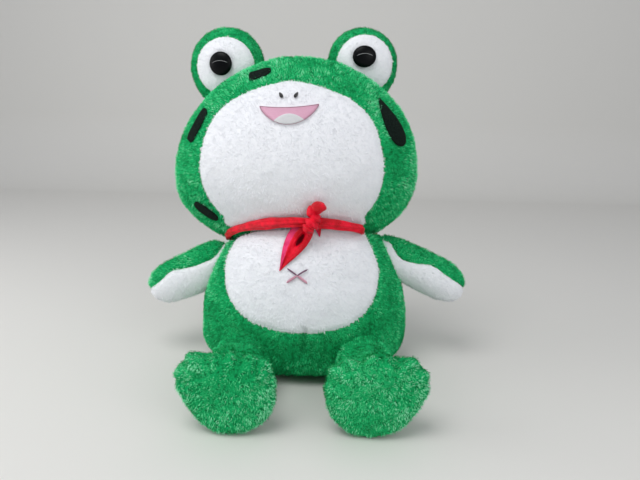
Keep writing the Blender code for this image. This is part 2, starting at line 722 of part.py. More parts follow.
def leg_form(name, way, inset=0.0):
    """The leg tube, from inside the torso to the foot."""
    start = LEG_ROOT_BACK
    end = FOOT_FRONT - FOOT_HALF_DEPTH - HIP_FRONT

    def shape(unit):
        along = (1 - unit.y) / 2
        y = start - (start + end) * along + inset * unit.y
        drift = (way * (FOOT_OUT - HIP_OUT) + FOOT_ASIDE) * along
        around = math.hypot(unit.x, unit.z)
        full = around ** LEG_ROUND_SHARE / around if around > 0 else 0.0
        return Vector((
            drift + unit.x * full * (LEG_HALF_WIDTH - inset),
            y,
            unit.z * full * (LEG_HALF_HEIGHT - inset),
        ))
    return ball_mesh(name, shape, LEG_SEGMENTS, LEG_RINGS, "Y")


def foot_form(name, side, way, inset=0.0):
    """The paddle of the foot, with three toes along its top edge."""
    widest = FOOT_HEIGHT * FOOT_WIDEST_SHARE

    def shape(unit):
        z = unit.z * (FOOT_HEIGHT - widest - inset if unit.z > 0 else widest + FLOOR_FLAT - inset)
        around = math.hypot(unit.x, unit.y)
        power = FOOT_TOE_ROUND_SHARE if unit.z > 0 else FOOT_HEEL_ROUND_SHARE
        full = around ** power / around if around > 0 else 0.0
        x, y = unit.x * full, unit.y * full
        if unit.z > 0:
            z -= TOE_NOTCH * (1 - math.cos(TOES * math.pi * x)) / 2 * unit.z
        heel_in = way * FOOT_HEEL_IN * min(unit.z, 0.0)
        return Vector((
            way * (FOOT_OUT - HIP_OUT) + FOOT_ASIDE + heel_in + x * (FOOT_HALF_WIDTHS[side] - inset),
            HIP_FRONT - FOOT_FRONT + FOOT_HALF_DEPTH + y * (FOOT_HALF_DEPTH - inset),
            widest - HIP_Z + z,
        ))
    return ball_mesh(name, shape, FOOT_SEGMENTS, FOOT_RINGS)


def build_leg(side, way):
    hip = empty(f"hip_{side}", HIPS[side])
    inner = add(f"leg_inner_{side}", leg_form(f"leg_inner_{side}", way, SKIN), None, hip)
    inner_foot = add(f"foot_inner_{side}", foot_form(f"foot_inner_{side}", side, way, SKIN), None, hip)
    boolean(inner, inner_foot, "UNION")
    foot = add(f"foot_form_{side}", foot_form(f"foot_form_{side}", side, way), None, hip)
    core = add(f"foot_core_{side}", foot_form(f"foot_core_{side}", side, way, SKIN + FOOT_CORE_GAP), None, hip)
    seam = HIP_FRONT - FOOT_FRONT + FOOT_HALF_DEPTH
    ahead_mesh = box_mesh(f"sole_side_{side}", (-OVERRUN,) * 3, (OVERRUN, seam + GAP, OVERRUN))
    ahead = add(f"sole_side_{side}", ahead_mesh, None, hip)
    behind_mesh = box_mesh(f"leg_side_{side}", (-OVERRUN, seam, -OVERRUN), (OVERRUN,) * 3)
    behind = add(f"leg_side_{side}", behind_mesh, None, hip)
    skin = add(f"leg_skin_{side}", leg_form(f"leg_skin_{side}", way), "green", hip)
    sole = add(f"sole_panel_{side}", leg_form(f"sole_panel_{side}", way), "green", hip)
    stuffing = add(f"leg_stuffing_{side}", leg_form(f"leg_stuffing_{side}", way, SKIN + GAP), "filling", hip)
    for piece in (skin, sole):
        boolean(piece, foot, "UNION")
        boolean(piece, inner)
        boolean(piece, floor)
    boolean(skin, ahead)
    boolean(sole, behind)
    boolean(stuffing, core, "UNION")
    room_mesh = limb_room_mesh(f"leg_room_{side}", HIPS[side], "Z", way * FOOT_SPLAY_IN, -way * FOOT_SPLAY_OUT)
    room = add(f"leg_room_{side}", room_mesh, None, hip)
    for piece in (skin, stuffing):
        boolean(piece, room)
    root = ball(f"leg_root_{side}", (0, 0, 0), HIP_RADIUS, LIMB_FACETS, "Z", hip)
    boolean(stuffing, root, "UNION")
    boolean(skin, hip_sockets[side])


# Scarf
def scarf_path(turn):
    """The middle of the band at a turn from the right side, through the rear, to the front."""
    x, y = math.cos(turn), math.sin(turn)
    middle = (SCARF_FRONT_Z + SCARF_REAR_Z + 2 * SCARF_SIDE_Z) / 4
    tilt = (SCARF_REAR_Z - SCARF_FRONT_Z) / 2
    saddle = (SCARF_FRONT_Z + SCARF_REAR_Z - 2 * SCARF_SIDE_Z) / 4
    z = middle + tilt * y - saddle * math.cos(2 * turn)
    return Vector((x * SCARF_SIDE_OUT, y * (SCARF_FRONT if y < 0 else SCARF_REAR), z))


def band_mesh(name, swell=0.0):
    bpy.ops.mesh.primitive_torus_add(
        major_segments=SCARF_SEGMENTS, minor_segments=SCARF_SIDES, major_radius=UNIT_RING_SHARE, minor_radius=1.0)
    torus = bpy.context.object
    mesh = torus.data
    mesh.name = name
    bpy.data.objects.remove(torus)
    for vert in mesh.vertices:
        turn = math.atan2(vert.co.y, vert.co.x)
        outward = math.hypot(vert.co.x, vert.co.y) - UNIT_RING_SHARE
        upward = vert.co.z
        away = Vector((math.cos(turn), math.sin(turn), 0))
        vert.co = scarf_path(turn) + away * outward * (SCARF_HALF_WIDTH + swell)
        vert.co.z += upward * (SCARF_HALF_HEIGHT + swell)
    return mesh


def tail_mesh(name, top, tip, half_width, fold):
    """A tapering cloth end that lies on the belly, with folds along it."""
    bm = bmesh.new()
    bmesh.ops.create_grid(bm, x_segments=TAIL_ACROSS, y_segments=TAIL_ALONG, size=1.0)
    start, end = Vector(top), Vector(tip)
    along = end - start
    aside = Vector((along.y, -along.x)).normalized()
    for vert in bm.verts:
        across, down = vert.co.x, (1 - vert.co.y) / 2
        spread = half_width * (TAIL_TOP_SHARE + (1 - TAIL_TOP_SHARE) * math.sin(math.pi * down ** TAIL_SWELL_SHARE))
        narrow = 1 - down ** TAIL_POINT_POWER
        spread *= narrow
        point = start + along * down + aside * across * (spread + TAIL_EDGE)
        lift = fold * (1 + math.cos(TAIL_FOLDS * math.pi * across)) / 2 * (1 - down * TAIL_FLAT_SHARE) * narrow
        vert.co = (point.x, torso_front(point.x, point.y) - TAIL_CLEAR - lift, point.y)
    mesh = bpy.data.meshes.new(name)
    bm.to_mesh(mesh)
    bm.free()
    return mesh


def add_tail(name, top, tip, half_width, fold):
    tail = add(name, tail_mesh(name, top, tip, half_width, fold), "red")
    cloth = tail.modifiers.new("cloth", "SOLIDIFY")
    cloth.thickness = CLOTH
    cloth.offset = -1.0
    return tail


def build_scarf():
    band = add("scarf_band", band_mesh("scarf_band"), "red")
    band_gap = add("scarf_band_gap", band_mesh("scarf_band_gap", GAP))
    knot_place = Vector((KNOT_ASIDE, scarf_path(-math.pi / 2).y - KNOT_FORWARD, KNOT_Z))
    knot = add("scarf_knot", oval_mesh("scarf_knot", KNOT_HALF, *KNOT_FACETS), "red", None, knot_place)
    bow_place = knot_place + Vector((BOW_ASIDE, BOW_FORWARD, BOW_RISE))
    bow = add("scarf_bow", oval_mesh("scarf_bow", BOW_HALF, *KNOT_FACETS), "red", None, bow_place)
    grown_half = [size + GAP for size in KNOT_HALF]
    knot_gap = add("scarf_knot_gap", oval_mesh("scarf_knot_gap", grown_half, *KNOT_FACETS), None, None, knot_place)
    long_tail = add_tail("scarf_tail_long", LONG_TAIL_TOP, LONG_TAIL_TIP, LONG_TAIL_HALF_WIDTH, LONG_TAIL_FOLD)
    short_tail = add_tail(
        "scarf_tail_short", SHORT_TAIL_TOP, SHORT_TAIL_TIP, SHORT_TAIL_HALF_WIDTH, SHORT_TAIL_FOLD)
    for piece in (band, knot, bow):
        boolean(piece, torso_form_gap)
    for piece in (band, knot, bow, long_tail, short_tail):
        boolean(piece, head_room)
    for piece in (knot, bow, long_tail, short_tail):
        boolean(piece, band_gap)
    for piece in (bow, long_tail, short_tail):
        boolean(piece, knot_gap)


build_neck()
build_torso()
build_head()
build_face()
build_scarf()
for side, way in SIDES.items():
    build_eye(side, way)
    build_arm(side, way)
    build_leg(side, way)
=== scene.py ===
"""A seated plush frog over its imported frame: stuffed bags with pile, felt, thread, eyes and a scarf."""
import math

import bmesh
import bpy
import numpy as np
from mathutils import Euler, Matrix, Vector
from mathutils.bvhtree import BVHTree


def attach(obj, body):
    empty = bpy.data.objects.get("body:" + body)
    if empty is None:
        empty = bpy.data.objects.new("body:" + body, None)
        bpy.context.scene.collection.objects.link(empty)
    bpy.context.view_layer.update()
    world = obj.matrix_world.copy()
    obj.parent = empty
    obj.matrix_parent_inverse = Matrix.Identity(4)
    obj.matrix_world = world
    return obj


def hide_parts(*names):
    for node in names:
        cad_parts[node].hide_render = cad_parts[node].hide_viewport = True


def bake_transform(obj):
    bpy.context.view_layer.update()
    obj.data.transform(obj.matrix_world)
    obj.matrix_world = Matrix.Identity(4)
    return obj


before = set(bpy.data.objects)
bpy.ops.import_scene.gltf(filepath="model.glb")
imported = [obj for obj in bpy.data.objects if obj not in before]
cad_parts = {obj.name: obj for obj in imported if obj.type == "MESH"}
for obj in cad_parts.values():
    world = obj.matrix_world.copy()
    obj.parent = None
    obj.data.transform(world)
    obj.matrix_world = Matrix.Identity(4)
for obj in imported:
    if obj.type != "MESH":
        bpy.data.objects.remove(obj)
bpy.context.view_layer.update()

# Pile: how deep its backing lies below the outline, and how its fibres clump, lean and vary in tone
PILE_DEPTH = 0.0026
PILE_LENGTH = 0.0038
PILE_WIDTH = 0.00044
PILE_LEAN = math.radians(54)
PILE_PER_SQUARE_METRE = 400_000
CLUMP = 0.0050
PATCH = 0.024
SMALL_CLUMP = CLUMP / 2.5
SMALL_CLUMP_SHARE = 0.6
TUFT = CLUMP / 3
CLUMP_FLOW = 0.9
TUFT_FLOW = 0.5
STRAY_FLOW = 0.25
REACH_SHARES = (0.85, 0.20)
REACH_CHANCE = (0.75, 1.15)
LEAN_CHANCE = 0.16
KNEE_LEAN = 0.65
TIP_LEAN = 1.35
FIBRE_ROLL = 0.35
KNEE_WIDTH = 0.9
ROOT_SINK = 0.06
# Tone by clump is painted light on the clumps and painted shade in the gaps between them; tone by patch and
# chance is random. The five fibre tones are lit and shaded copies of each cloth's colour
TONE_BY_CLUMP = 0.50
TONE_BY_PATCH = 0.60
TONE_CHANCE = 0.24
TONE_STEPS = (0.62, 0.20, -0.20, -0.62)
FIBRE_LABELS = ("tip", "light", "mid", "shade", "deep")
WHITE_PILE_SHARES = {"face": 0.8, "eye": 0.9, "belly": 0.9, "arm": 0.8}
PILE_SEEDS = {
    "head": 21, "face": 22, "eye_back": 33, "eye_front": 36, "torso": 43, "belly": 44,
    "arm_back": 53, "arm_front": 56, "leg": 63, "sole": 70,
}

# Seams, and each bag's soft waves: height, size, and a seed unless each side has its own
SEAM_DEPTH = 0.0024
SEAM_WIDTH = 0.0030
HEAD_WAVES = ((0.0014, 0.045, 11), (0.0006, 0.016, 12))
EYE_WAVE = (0.0009, 0.022)
TORSO_WAVES = ((0.0016, 0.050, 41), (0.0007, 0.017, 42))
ARM_WAVE = (0.0011, 0.024)
LEG_WAVE = (0.0012, 0.026)
LEG_SMALL_WAVE = (0.0006, 0.010, 66)

# Neck and head
NECK = (-0.006, 0.0, 0.150)
HEAD_ASIDE = -0.004
HEAD_LEAN = math.radians(2.3)
HEAD_YAW = math.radians(3.5)
HEAD_HALF_WIDTH = 0.143
HEAD_HALF_DEPTH = 0.087
HEAD_UPPER_HEIGHT = 0.130
HEAD_LOWER_HEIGHT = 0.100
HEAD_RISE = 0.080
HEAD_BACK = 0.005
CHIN_DRAW_SHARE = 0.30
CHIN_DRAW_EASE = 0.040
JAW_ROUND_SHARE = 0.82
HEAD_TURNS = tuple(math.radians(degrees) for degrees in (-10, 0, 10))
HEAD_NODS = tuple(math.radians(degrees) for degrees in (-8, 0, 2))
HEAD_SAG = 0.65
HEAD_SAG_LEVEL = 0.025
HEAD_COMB_CENTRE = (0.0, -0.12, 0.09)
FOLLOW_START = (0, 0, 0.140)
FOLLOW_END = (0, 0, 0.178)
SINK_STEPS = 14
NECK_FILLING_RADIUS = 0.031

# Face panel, measured from the neck
FACE_TOP = 0.182
FACE_HALF_WIDTH = 0.101
FACE_WIDEST = 0.090
FACE_BOTTOM = 0.004
FACE_UPPER_SHARES = ((0.16, 0.985), (0.40, 0.93), (0.62, 0.815), (0.79, 0.63), (0.915, 0.36), (0.975, 0.15))
FACE_LOWER_SHARES = ((0.22, 0.985), (0.45, 0.92), (0.66, 0.80), (0.85, 0.66))

# Eye bumps
EYE_OUT = 0.0795
EYE_ASIDE = -0.0025
EYE_PROUD = 0.0131
EYE_BACK = 0.0330
EYE_HALF_WIDTHS = {"left": 0.0465, "right": 0.0425}
EYE_HALF_DEPTH = 0.0300
EYE_SPLAY = math.radians(6)
EYE_LOW_SHARE = 1.12
EYE_WINDOW_PLACES = {"left": (0.0022, -0.0010), "right": (0.0010, -0.0014)}
EYE_WINDOW_HALVES = {"left": (0.0356, 0.0340), "right": (0.0338, 0.0338)}
EYE_PILE = 0.0027
# Painted shade: the eye backs' green pile is darker than the same plush elsewhere
EYE_BACK_PAINTED_SHADE = 0.60
EYE_COMB_CENTRE = (0.0, -0.05, 0.0)
EYE_RING_STEPS = 72
PUPIL_DIMPLE = (0.0012, 0.004)
PUPIL_DIMPLE_SHARE = 0.8
PUPIL_SUNK = 0.00078
PUPIL_RADIUS = 0.0132
PUPIL_RISE = 0.0045
PUPIL_OUT = -0.0010
PUPIL_UPS = {"left": 0.0015, "right": 0.0060}
PUPIL_HEIGHT_SHARES = {"left": 1.0, "right": 0.90}
PUPIL_EDGE = 0.0006
PUPIL_FOOT = ((PUPIL_RADIUS - PUPIL_EDGE, 0.0012), (PUPIL_RADIUS, 0.0004), (PUPIL_RADIUS, -0.0002))
PUPIL_RINGS = 13
PUPIL_SIDES = 64
PUPIL_LINE_HALF_WIDTH = 0.0090
PUPIL_LINE_RISE = 0.0024
PUPIL_LINE_DROP = -0.0006
PUPIL_LINE_RADIUS = 0.00022

# Mouth, nostrils and spots
MOUTH_HALF_WIDTH = 0.0308
MOUTH_ASIDE = 0.0010
MOUTH_SLOPE = 0.020
MOUTH_Z = 0.1555
MOUTH_DROP = 0.0190
MOUTH_SAG = 0.0022
MOUTH_LINE = 0.0008
MOUTH_ROUND_SHARE = 0.75
TONGUE_HALF_WIDTH = 0.0160
TONGUE_HILL = 0.0068
NOSTRIL_OUT = 0.0080
NOSTRIL_Z = 0.1660
NOSTRIL_HALF_LENGTH = 0.0032
NOSTRIL_HALF_WIDTH = 0.0017
NOSTRIL_TILT = math.radians(32)
NOSTRIL_TAPER = -0.35
SPOTS = {
    "crown_spot": (-0.0335, 0.1893, 0.0125, 0.0047, 16, -0.30, 0.42),
    "temple_spot": (-0.1050, 0.1355, 0.0200, 0.0058, 60, -0.1, 0.45),
    "cheek_spot": (-0.1010, 0.0385, 0.0165, 0.0062, -34, 0.0, 0.75),
    "brow_spot": (0.1080, 0.1360, 0.0290, 0.0078, -62, 0.50, 1.0),
}
FELT_RISE = 0.0016
FELT_CROWN = 0.0006
FELT_BED = (0.0008, 0.002)
THREAD_RISE = 0.0024
THREAD_CROWN = 0.0008
TONGUE_RISE = THREAD_RISE + 0.0007
PATCH_EDGE = 0.0008
PATCH_RINGS = 7
BARE_ROUND_FELT = 0.0004
BARE_ROUND_THREAD = 0.0018

# Torso and belly
TORSO_HALF_WIDTH = 0.125
TORSO_HALF_DEPTH = 0.095
TORSO_BELT_Z = 0.050
TORSO_UPPER_HEIGHT = 0.155
TORSO_BASE_POWER_SHARE = 0.5
FLOOR_FLAT = 0.0005
BELLY_BOTTOM = 0.0650
BELLY_HALF_WIDTH = 0.0885
BELLY_ASIDE = -0.0035
BELLY_WIDEST = 0.128
BELLY_TOP = 0.215
BELLY_LOWER_SHARES = ((0.28, 0.985), (0.52, 0.92), (0.72, 0.80), (0.88, 0.60), (0.97, 0.32))
BELLY_UPPER_SHARES = ((0.16, 0.95), (0.33, 0.87), (0.48, 0.79), (0.70, 0.68), (1.0, 0.52))
DART_X = 0.0010
DART_LOW = 0.046
DART_HIGH = 0.070
DART_SWAY = (0.0012, 0.008)
DART_SEAM = (0.0042, 0.0032)
# Painted shade: darker pile in the dart's crease and low on the body near the floor
DART_PAINTED_SHADE = (1.2, 0.003)
DART_BARE = 0.0010
BODY_PAINTED_SHADE = 0.55
BODY_PAINTED_SHADE_TOP = 0.085
TORSO_COMB_CENTRE = (BELLY_ASIDE, -0.15, 0.14)
NAVEL = (-0.0070, 0.1270)
NAVEL_REACH = (0.0112, 0.0072)
NAVEL_THREADS = (0.00085, 0.00135)
NAVEL_CROSSING = 0.0006
NAVEL_RISE_SHARE = 0.7
NAVEL_BARE = (0.16, 1.05)
TAIL_BARE_SHARE = 0.8

# Arms
SHOULDER_OUT = 0.094
SHOULDER_Z = 0.119
ARM_REACH = 0.103
ARM_RISES = {"left": 0.0052, "right": 0.0148}
ARM_LOW_SHARES = {"left": 1.0, "right": 0.86}
ARM_HALF_HEIGHT = 0.0290
ARM_HALF_DEPTH = 0.0235
ARM_DROOP = math.radians(26)
ARM_TIP_POWER_SHARE = 0.75
ARM_SEAM_TILT = math.radians(20)
ARM_INSIDE = 0.030
ARM_SEAM_RISES = {"left": 0.0018, "right": -0.0018}
ARM_SEAM_HUMPS = {"left": 0.0072, "right": 0.0042}
ARM_SEAM_HUMP_PLACES = {"left": 0.060, "right": 0.052}
ARM_SEAM_HUMP_WIDTH = 0.016
ARM_SEAM_OUTERS = {"left": 0.0, "right": 0.0065}
ARM_SEAM_OUTER_START = 0.015
ARM_SEAM_OUTER_RUN = 0.030
ARM_SEAM_LIFT = 0.006
ARM_SEAM_LIFT_REACH = 0.015
ARM_SEAM = (0.0020, 0.0028)
ARM_BEND = 0.060

# Legs and feet
HIP_OUT = 0.064
HIP_FRONT = 0.066
HIP_Z = 0.033
LEG_HALF_WIDTH = 0.0320
LEG_HALF_HEIGHT = 0.0290
LEG_ROOT_BACK = 0.024
LEG_ROUND_SHARE = 0.35
FOOT_FRONT = 0.201
FOOT_OUT = 0.071
FOOT_ASIDE = 0.003
FOOT_HALF_WIDTHS = {"left": 0.0490, "right": 0.0510}
FOOT_HALF_DEPTH = 0.0180
FOOT_HEIGHT = 0.084
FOOT_WIDEST_SHARE = 0.66
FOOT_TOE_ROUND_SHARE = 0.55
FOOT_HEEL_ROUND_SHARE = 0.85
FOOT_HEEL_IN = 0.0060
TOE_NOTCH = 0.0035
TOES = 3
TOE_FOLDS = 15
TOE_FOLD_DEPTH = 0.0020
TOE_FOLD_DRIFT = 0.02
TOE_RIM = (0.024, 0.016)
TOE_TOP = 0.35
TOE_FOLD_BEHIND = 0.004
# Painted shade in the creases of the toe folds
TOE_FOLD_PAINTED_SHADE = 0.9
FOOT_MIDDLE_SHARE = 0.75
FOOT_SEAM = (0.0012, 0.0025)
FOOT_SEAM_START = 0.022
LEG_VOXEL = 0.0024
LEG_DEPTH = 0.0018
LEG_SMOOTH_STEPS = 6
FOOT_PILE = 0.0033
FOOT_DIMPLE = (-0.091, 0.0625)
FOOT_DIMPLE_PRESS = (0.0026, 0.0045)
# Painted shade in the foot's dimple
FOOT_DIMPLE_PAINTED_SHADE = (0.9, 0.004)
LEG_COMB_Y = -0.11
SOLE_COMB_Y = -0.15
# Painted light on the soles' pile, and painted sheen brighter still toward their rims
FOOT_PAINTED_LIGHT = 0.40
FOOT_RIM_PAINTED_SHEEN = 0.45
# Painted shade: the legs' pile is darker, standing for the shadow under the body
LEG_PAINTED_SHADE = 0.40
LEG_BEND_START = 0.020
LEG_BEND_END = 0.055

# Scarf
SCARF_LEFT_OUT = 0.0932
SCARF_RIGHT_OUT = 0.0895
SCARF_FRONT = 0.0657
SCARF_REAR = 0.0800
SCARF_FRONT_Z = 0.1824
SCARF_REAR_Z = 0.1460
SCARF_DIP = 0.06
SCARF_HALF_HEIGHT = 0.0056
SCARF_HALF_WIDTH = 0.0044
SCARF_FOLD_SHARE = 0.15
SCARF_TUCK_START = 0.060
SCARF_TUCK_RUN = 0.022
SCARF_TUCK_IN = 0.0190
SCARF_TUCK_REAR = 0.35
SCARF_TUCK_FADE = 0.25
SCARF_TAPER = 0.34
SCARF_REAR_FULLER = 0.35
SCARF_REAR_LOWER = 0.0050
SCARF_TAPER_START = 0.048
SCARF_TAPER_RUN = 0.034
SCARF_STEPS = (320, 60)
SCARF_TWISTS = ((0.5, 2, 0), (0.25, 5, 1))
SCARF_PINCHES = ((0.07, 9, 0.7), (0.04, 21, 0))
CREASE_DEPTH = 0.09
CREASE_WANDER = (1.2, 0.9)
CREASE_BULGE = 0.45
KNOT_PLACE = (0.0085, -0.0755, 0.1850)
KNOT_LUMPS = (
    ((0.0022, 0.0010, 0.0048), (0.0070, 0.0066, 0.0052), 32, 2, 81),
    ((-0.0010, -0.0004, -0.0014), (0.0080, 0.0074, 0.0054), 32, 2, 84),
    ((-0.0046, 0.0008, -0.0072), (0.0068, 0.0062, 0.0050), 32, 2, 87),
)
LOOP_LUMPS = (
    ((0.0050, -0.0014, 0.0160), (0.0080, 0.0062, 0.0072), -14, 1, 101),
    ((-0.0018, -0.0002, 0.0118), (0.0052, 0.0050, 0.0074), 30, 1, 104),
)
CLOTH = 0.0009
TAIL_REST = 0.0022
TAIL_PROUD = 0.0070
TAIL_STEPS = (70, 56)
TAIL_ROOT_SHARE = 0.58
TAIL_FAN_SHARE = 0.42
TAIL_POWERS = (0.72, 2.3)
TAIL_POINT = 0.0003
TAIL_RIDGES = ((-0.35, 0.30, 1.0), (0.75, 0.28, 0.8))
TAIL_HOLLOW = (0.24, 0.30)
TAIL_HOLLOW_SIZE = (0.26, 0.15)
TAIL_HOLLOW_DEPTH = 1.3
TAIL_HOLLOW_RIM = (1.3, 0.35, 0.45)
# How far the painted shadow in the fold's hollow reaches
TAIL_HOLLOW_PAINTED_SHADOW = 0.85
TAIL_UNEVEN = (0.0005, 0.006)
LONG_TAIL = {
    "top": (0.0030, 0.1790), "tip": (-0.0262, 0.1310), "half_width": 0.0122, "fold": 0.0042, "bow": -0.0022,
    "flat": (0.027, 0.061), "area": 0.00134}
SHORT_TAIL = {
    "top": (0.0125, 0.1780), "tip": (0.0160, 0.1660), "half_width": 0.0026, "fold": 0.0012, "bow": 0.0006,
    "flat": (0.010, 0.016), "area": 0.000091}
# Where the painted sheen runs along each tail's left edge
PAINTED_SHEEN_EDGE = (-0.52, 0.35)

# Stage and light: each lamp's place, target, width and power
STAGE_FRONT = -2.2
STAGE_DEPTH = 1.5
STAGE_HALF_WIDTH = 2.2
STAGE_HEIGHT = 1.8
STAGE_BEND = 0.25
LAMPS = {
    "key softbox": ((-0.45, -0.75, 1.55), (0, 0, 0.18), 1.0, 12.0),
    "fill softbox": ((0.9, -1.3, 0.7), (0, 0, 0.15), 1.2, 6.0),
    "side softbox": ((-1.15, -0.25, 0.50), (0, 0, 0.12), 0.9, 4.5),
}
ROOM_COLOUR = (0.93, 0.95, 1.0, 1)
ROOM_LIGHT = 0.46

# Camera, matched to the photograph
CAMERA_PLACE = (0.0165, -0.700, 0.310)
CAMERA_PITCH = math.radians(13)
CAMERA_ROLL = math.radians(1.5)
CAMERA_LENS_MM = 33.75
CAMERA_SENSOR_MM = 36.0

SIDES = {"left": -1, "right": 1}


def unit_ball(detail):
    """Points and faces of an even ball of radius 1."""
    bm = bmesh.new()
    bmesh.ops.create_icosphere(bm, subdivisions=detail, radius=1.0)
    points = np.array([vert.co for vert in bm.verts])
    faces = np.array([[vert.index for vert in face.verts] for face in bm.faces])
    bm.free()
    return points, faces


def unit_rows(rows):
    return rows / np.maximum(np.linalg.norm(rows, axis=1, keepdims=True), 1e-12)


def eased(share):
    """A smooth step from 0 to 1."""
    return share * share * (3 - 2 * share)


def normals_of(points, faces):
    """A normal for each point, from the faces round it."""
    corners = points[faces]
    flat = np.cross(corners[:, 1] - corners[:, 0], corners[:, 2] - corners[:, 0])
    total = np.zeros_like(points)
    for corner in range(3):
        np.add.at(total, faces[:, corner], flat)
    return unit_rows(total)


def drift(points, size, seed):
    """Smooth values from -1 to 1 that wander over a given size."""
    cells = 16
    grid = np.random.default_rng(seed).uniform(-1, 1, (cells, cells, cells))
    place = np.asarray(points) / size
    low = np.floor(place).astype(int)
    part = eased(place - low)
    total = np.zeros(len(place))
    for step in np.ndindex(2, 2, 2):
        index = (low + step) % cells
        share = np.prod(np.where(np.array(step) == 1, part, 1 - part), axis=1)
        total += share * grid[index[:, 0], index[:, 1], index[:, 2]]
    return total


def wandering(points, size, seed):
    """Three drifting values for each point."""
    return np.stack([drift(points, size, seed + axis) for axis in range(3)], axis=1)


def uneven(points, normals, *waves):
    """Moves a surface in and out by soft waves."""
    return points + normals * sum(height * drift(points, size, seed) for height, size, seed in waves)[:, None]


def moved(points, matrix):
    rotation = np.array(matrix.to_3x3())
    return points @ rotation.T + np.array(matrix.translation)


def signed_power(values, power):
    return np.sign(values) * np.abs(values) ** power


def rounded(x, y, power):
    """Fills out a ring's radius by a power."""
    around = np.hypot(x, y)
    full = np.where(around > 1e-9, around ** power / np.maximum(around, 1e-9), 0.0)
    return x * full, y * full


def smooth_outline(corners, steps=6):
    """A closed curve through its corner points."""
    corners = np.array(corners, float)
    before, after = np.roll(corners, 1, 0), np.roll(corners, -1, 0)
    beyond = np.roll(corners, -2, 0)
    points = []
    for share in np.arange(steps) / steps:
        points.append(0.5 * (
            2 * corners + (after - before) * share
            + (2 * before - 5 * corners + 4 * after - beyond) * share ** 2
            + (3 * corners - before - 3 * after + beyond) * share ** 3
        ))
    return np.stack(points, axis=1).reshape(-1, 2)


def outline_distance(flat, outline):
    """Distance from each flat point to an outline, negative inside it."""
    start, end = outline, np.roll(outline, -1, 0)
    along = end - start
    best = np.full(len(flat), np.inf)
    inside = np.zeros(len(flat), bool)
    for a, b, run in zip(start, end, along):
        offset = flat - a
        share = np.clip(offset @ run / max(run @ run, 1e-18), 0, 1)
        best = np.minimum(best, np.linalg.norm(offset - share[:, None] * run, axis=1))
        crosses = (a[1] > flat[:, 1]) != (b[1] > flat[:, 1])
        if abs(run[1]) > 1e-12:
            meets = a[0] + run[0] * (flat[:, 1] - a[1]) / run[1]
            inside ^= crosses & (flat[:, 0] < meets)
    return np.where(inside, -best, best)


def egg_outline(low, widest, high, half_width, lower_shares, upper_shares, pointed):
    """A symmetric outline from shares of its height and half width."""
    right = [(half_width * w, widest - (widest - low) * h) for h, w in reversed(lower_shares)]
    right += [(half_width, widest)]
    right += [(half_width * w, widest + (high - widest) * h) for h, w in upper_shares]
    left = [(-x, z) for x, z in reversed(right)]
    tip = [(0, high)] if pointed == "top" else []
    foot = [(0, low)] if pointed == "bottom" else []
    return smooth_outline(foot + right + tip + left)


def oval_outline(centre, half_length, half_width, tilt, taper=0.0, count=40, square=1.0):
    """An oval outline: taper narrows one end, and square below 1 squares its corners."""
    turn = np.arange(count) / count * math.tau
    width = half_width * (1 + taper * np.cos(turn))
    x, z = half_length * signed_power(np.cos(turn), square), width * signed_power(np.sin(turn), square)
    return np.stack([
        centre[0] + x * math.cos(tilt) - z * math.sin(tilt),
        centre[1] + x * math.sin(tilt) + z * math.cos(tilt),
    ], axis=1)


def mesh_of(name, points, faces):
    """A mesh from arrays: faces is one array, or several of different lengths."""
    groups = faces if isinstance(faces, list) else [faces]
    mesh = bpy.data.meshes.new(name)
    mesh.vertices.add(len(points))
    mesh.vertices.foreach_set("co", np.asarray(points, np.float32).ravel())
    sizes = np.concatenate([np.full(len(group), group.shape[1]) for group in groups])
    corners = np.concatenate([group.ravel() for group in groups])
    mesh.loops.add(len(corners))
    mesh.loops.foreach_set("vertex_index", corners.astype(np.int32))
    mesh.polygons.add(len(sizes))
    mesh.polygons.foreach_set("loop_start", np.concatenate([[0], np.cumsum(sizes)[:-1]]).astype(np.int32))
    mesh.update(calc_edges=True)
    mesh.validate()
    return mesh


def linked(name, data):
    """A new object in the scene."""
    thing = bpy.data.objects.new(name, data)
    bpy.context.scene.collection.objects.link(thing)
    return thing


def piece(name, mesh, material, replaces=(), body=None):
    """A shown piece, smooth, with one or more materials. It rides on its body, when one is given."""
    thing = linked(name, mesh)
    for finish in material if isinstance(material, list) else [material]:
        mesh.materials.append(finish)
    mesh.polygons.foreach_set("use_smooth", np.ones(len(mesh.polygons), bool))
    if replaces:
        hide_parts(*replaces)
    if body:
        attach(thing, body)
    return thing


def joined(name, meshes):
    """One mesh made of several."""
    bm = bmesh.new()
    for mesh in meshes:
        bm.from_mesh(mesh)
    together = bpy.data.meshes.new(name)
    bm.to_mesh(together)
    bm.free()
    return together


def part_of(points, faces, kept):
    """The points and faces that stay when only some faces are kept."""
    faces = faces[kept]
    used, index = np.unique(faces, return_inverse=True)
    return points[used], index.reshape(faces.shape)


# Shader groups and materials
def new_group(name, inputs, outputs):
    group = bpy.data.node_groups.new(name, "ShaderNodeTree")
    for label, kind, value in inputs:
        made = group.interface.new_socket(label, in_out="INPUT", socket_type=kind)
        made.default_value = value
    for label, kind in outputs:
        group.interface.new_socket(label, in_out="OUTPUT", socket_type=kind)
    return group, group.nodes.new("NodeGroupInput"), group.nodes.new("NodeGroupOutput")


def node(tree, kind, settings=None, **values):
    """A node with its settings, and its inputs by name, as numbers or as other nodes' sockets."""
    made = tree.nodes.new(kind)
    for name, value in (settings or {}).items():
        setattr(made, name, value)
    for label, value in values.items():
        inputs = made.inputs[int(label[1:])] if label[0] == "_" else made.inputs[label.replace("_", " ")]
        if isinstance(value, bpy.types.NodeSocket):
            tree.links.new(value, inputs)
        else:
            inputs.default_value = value
    return made


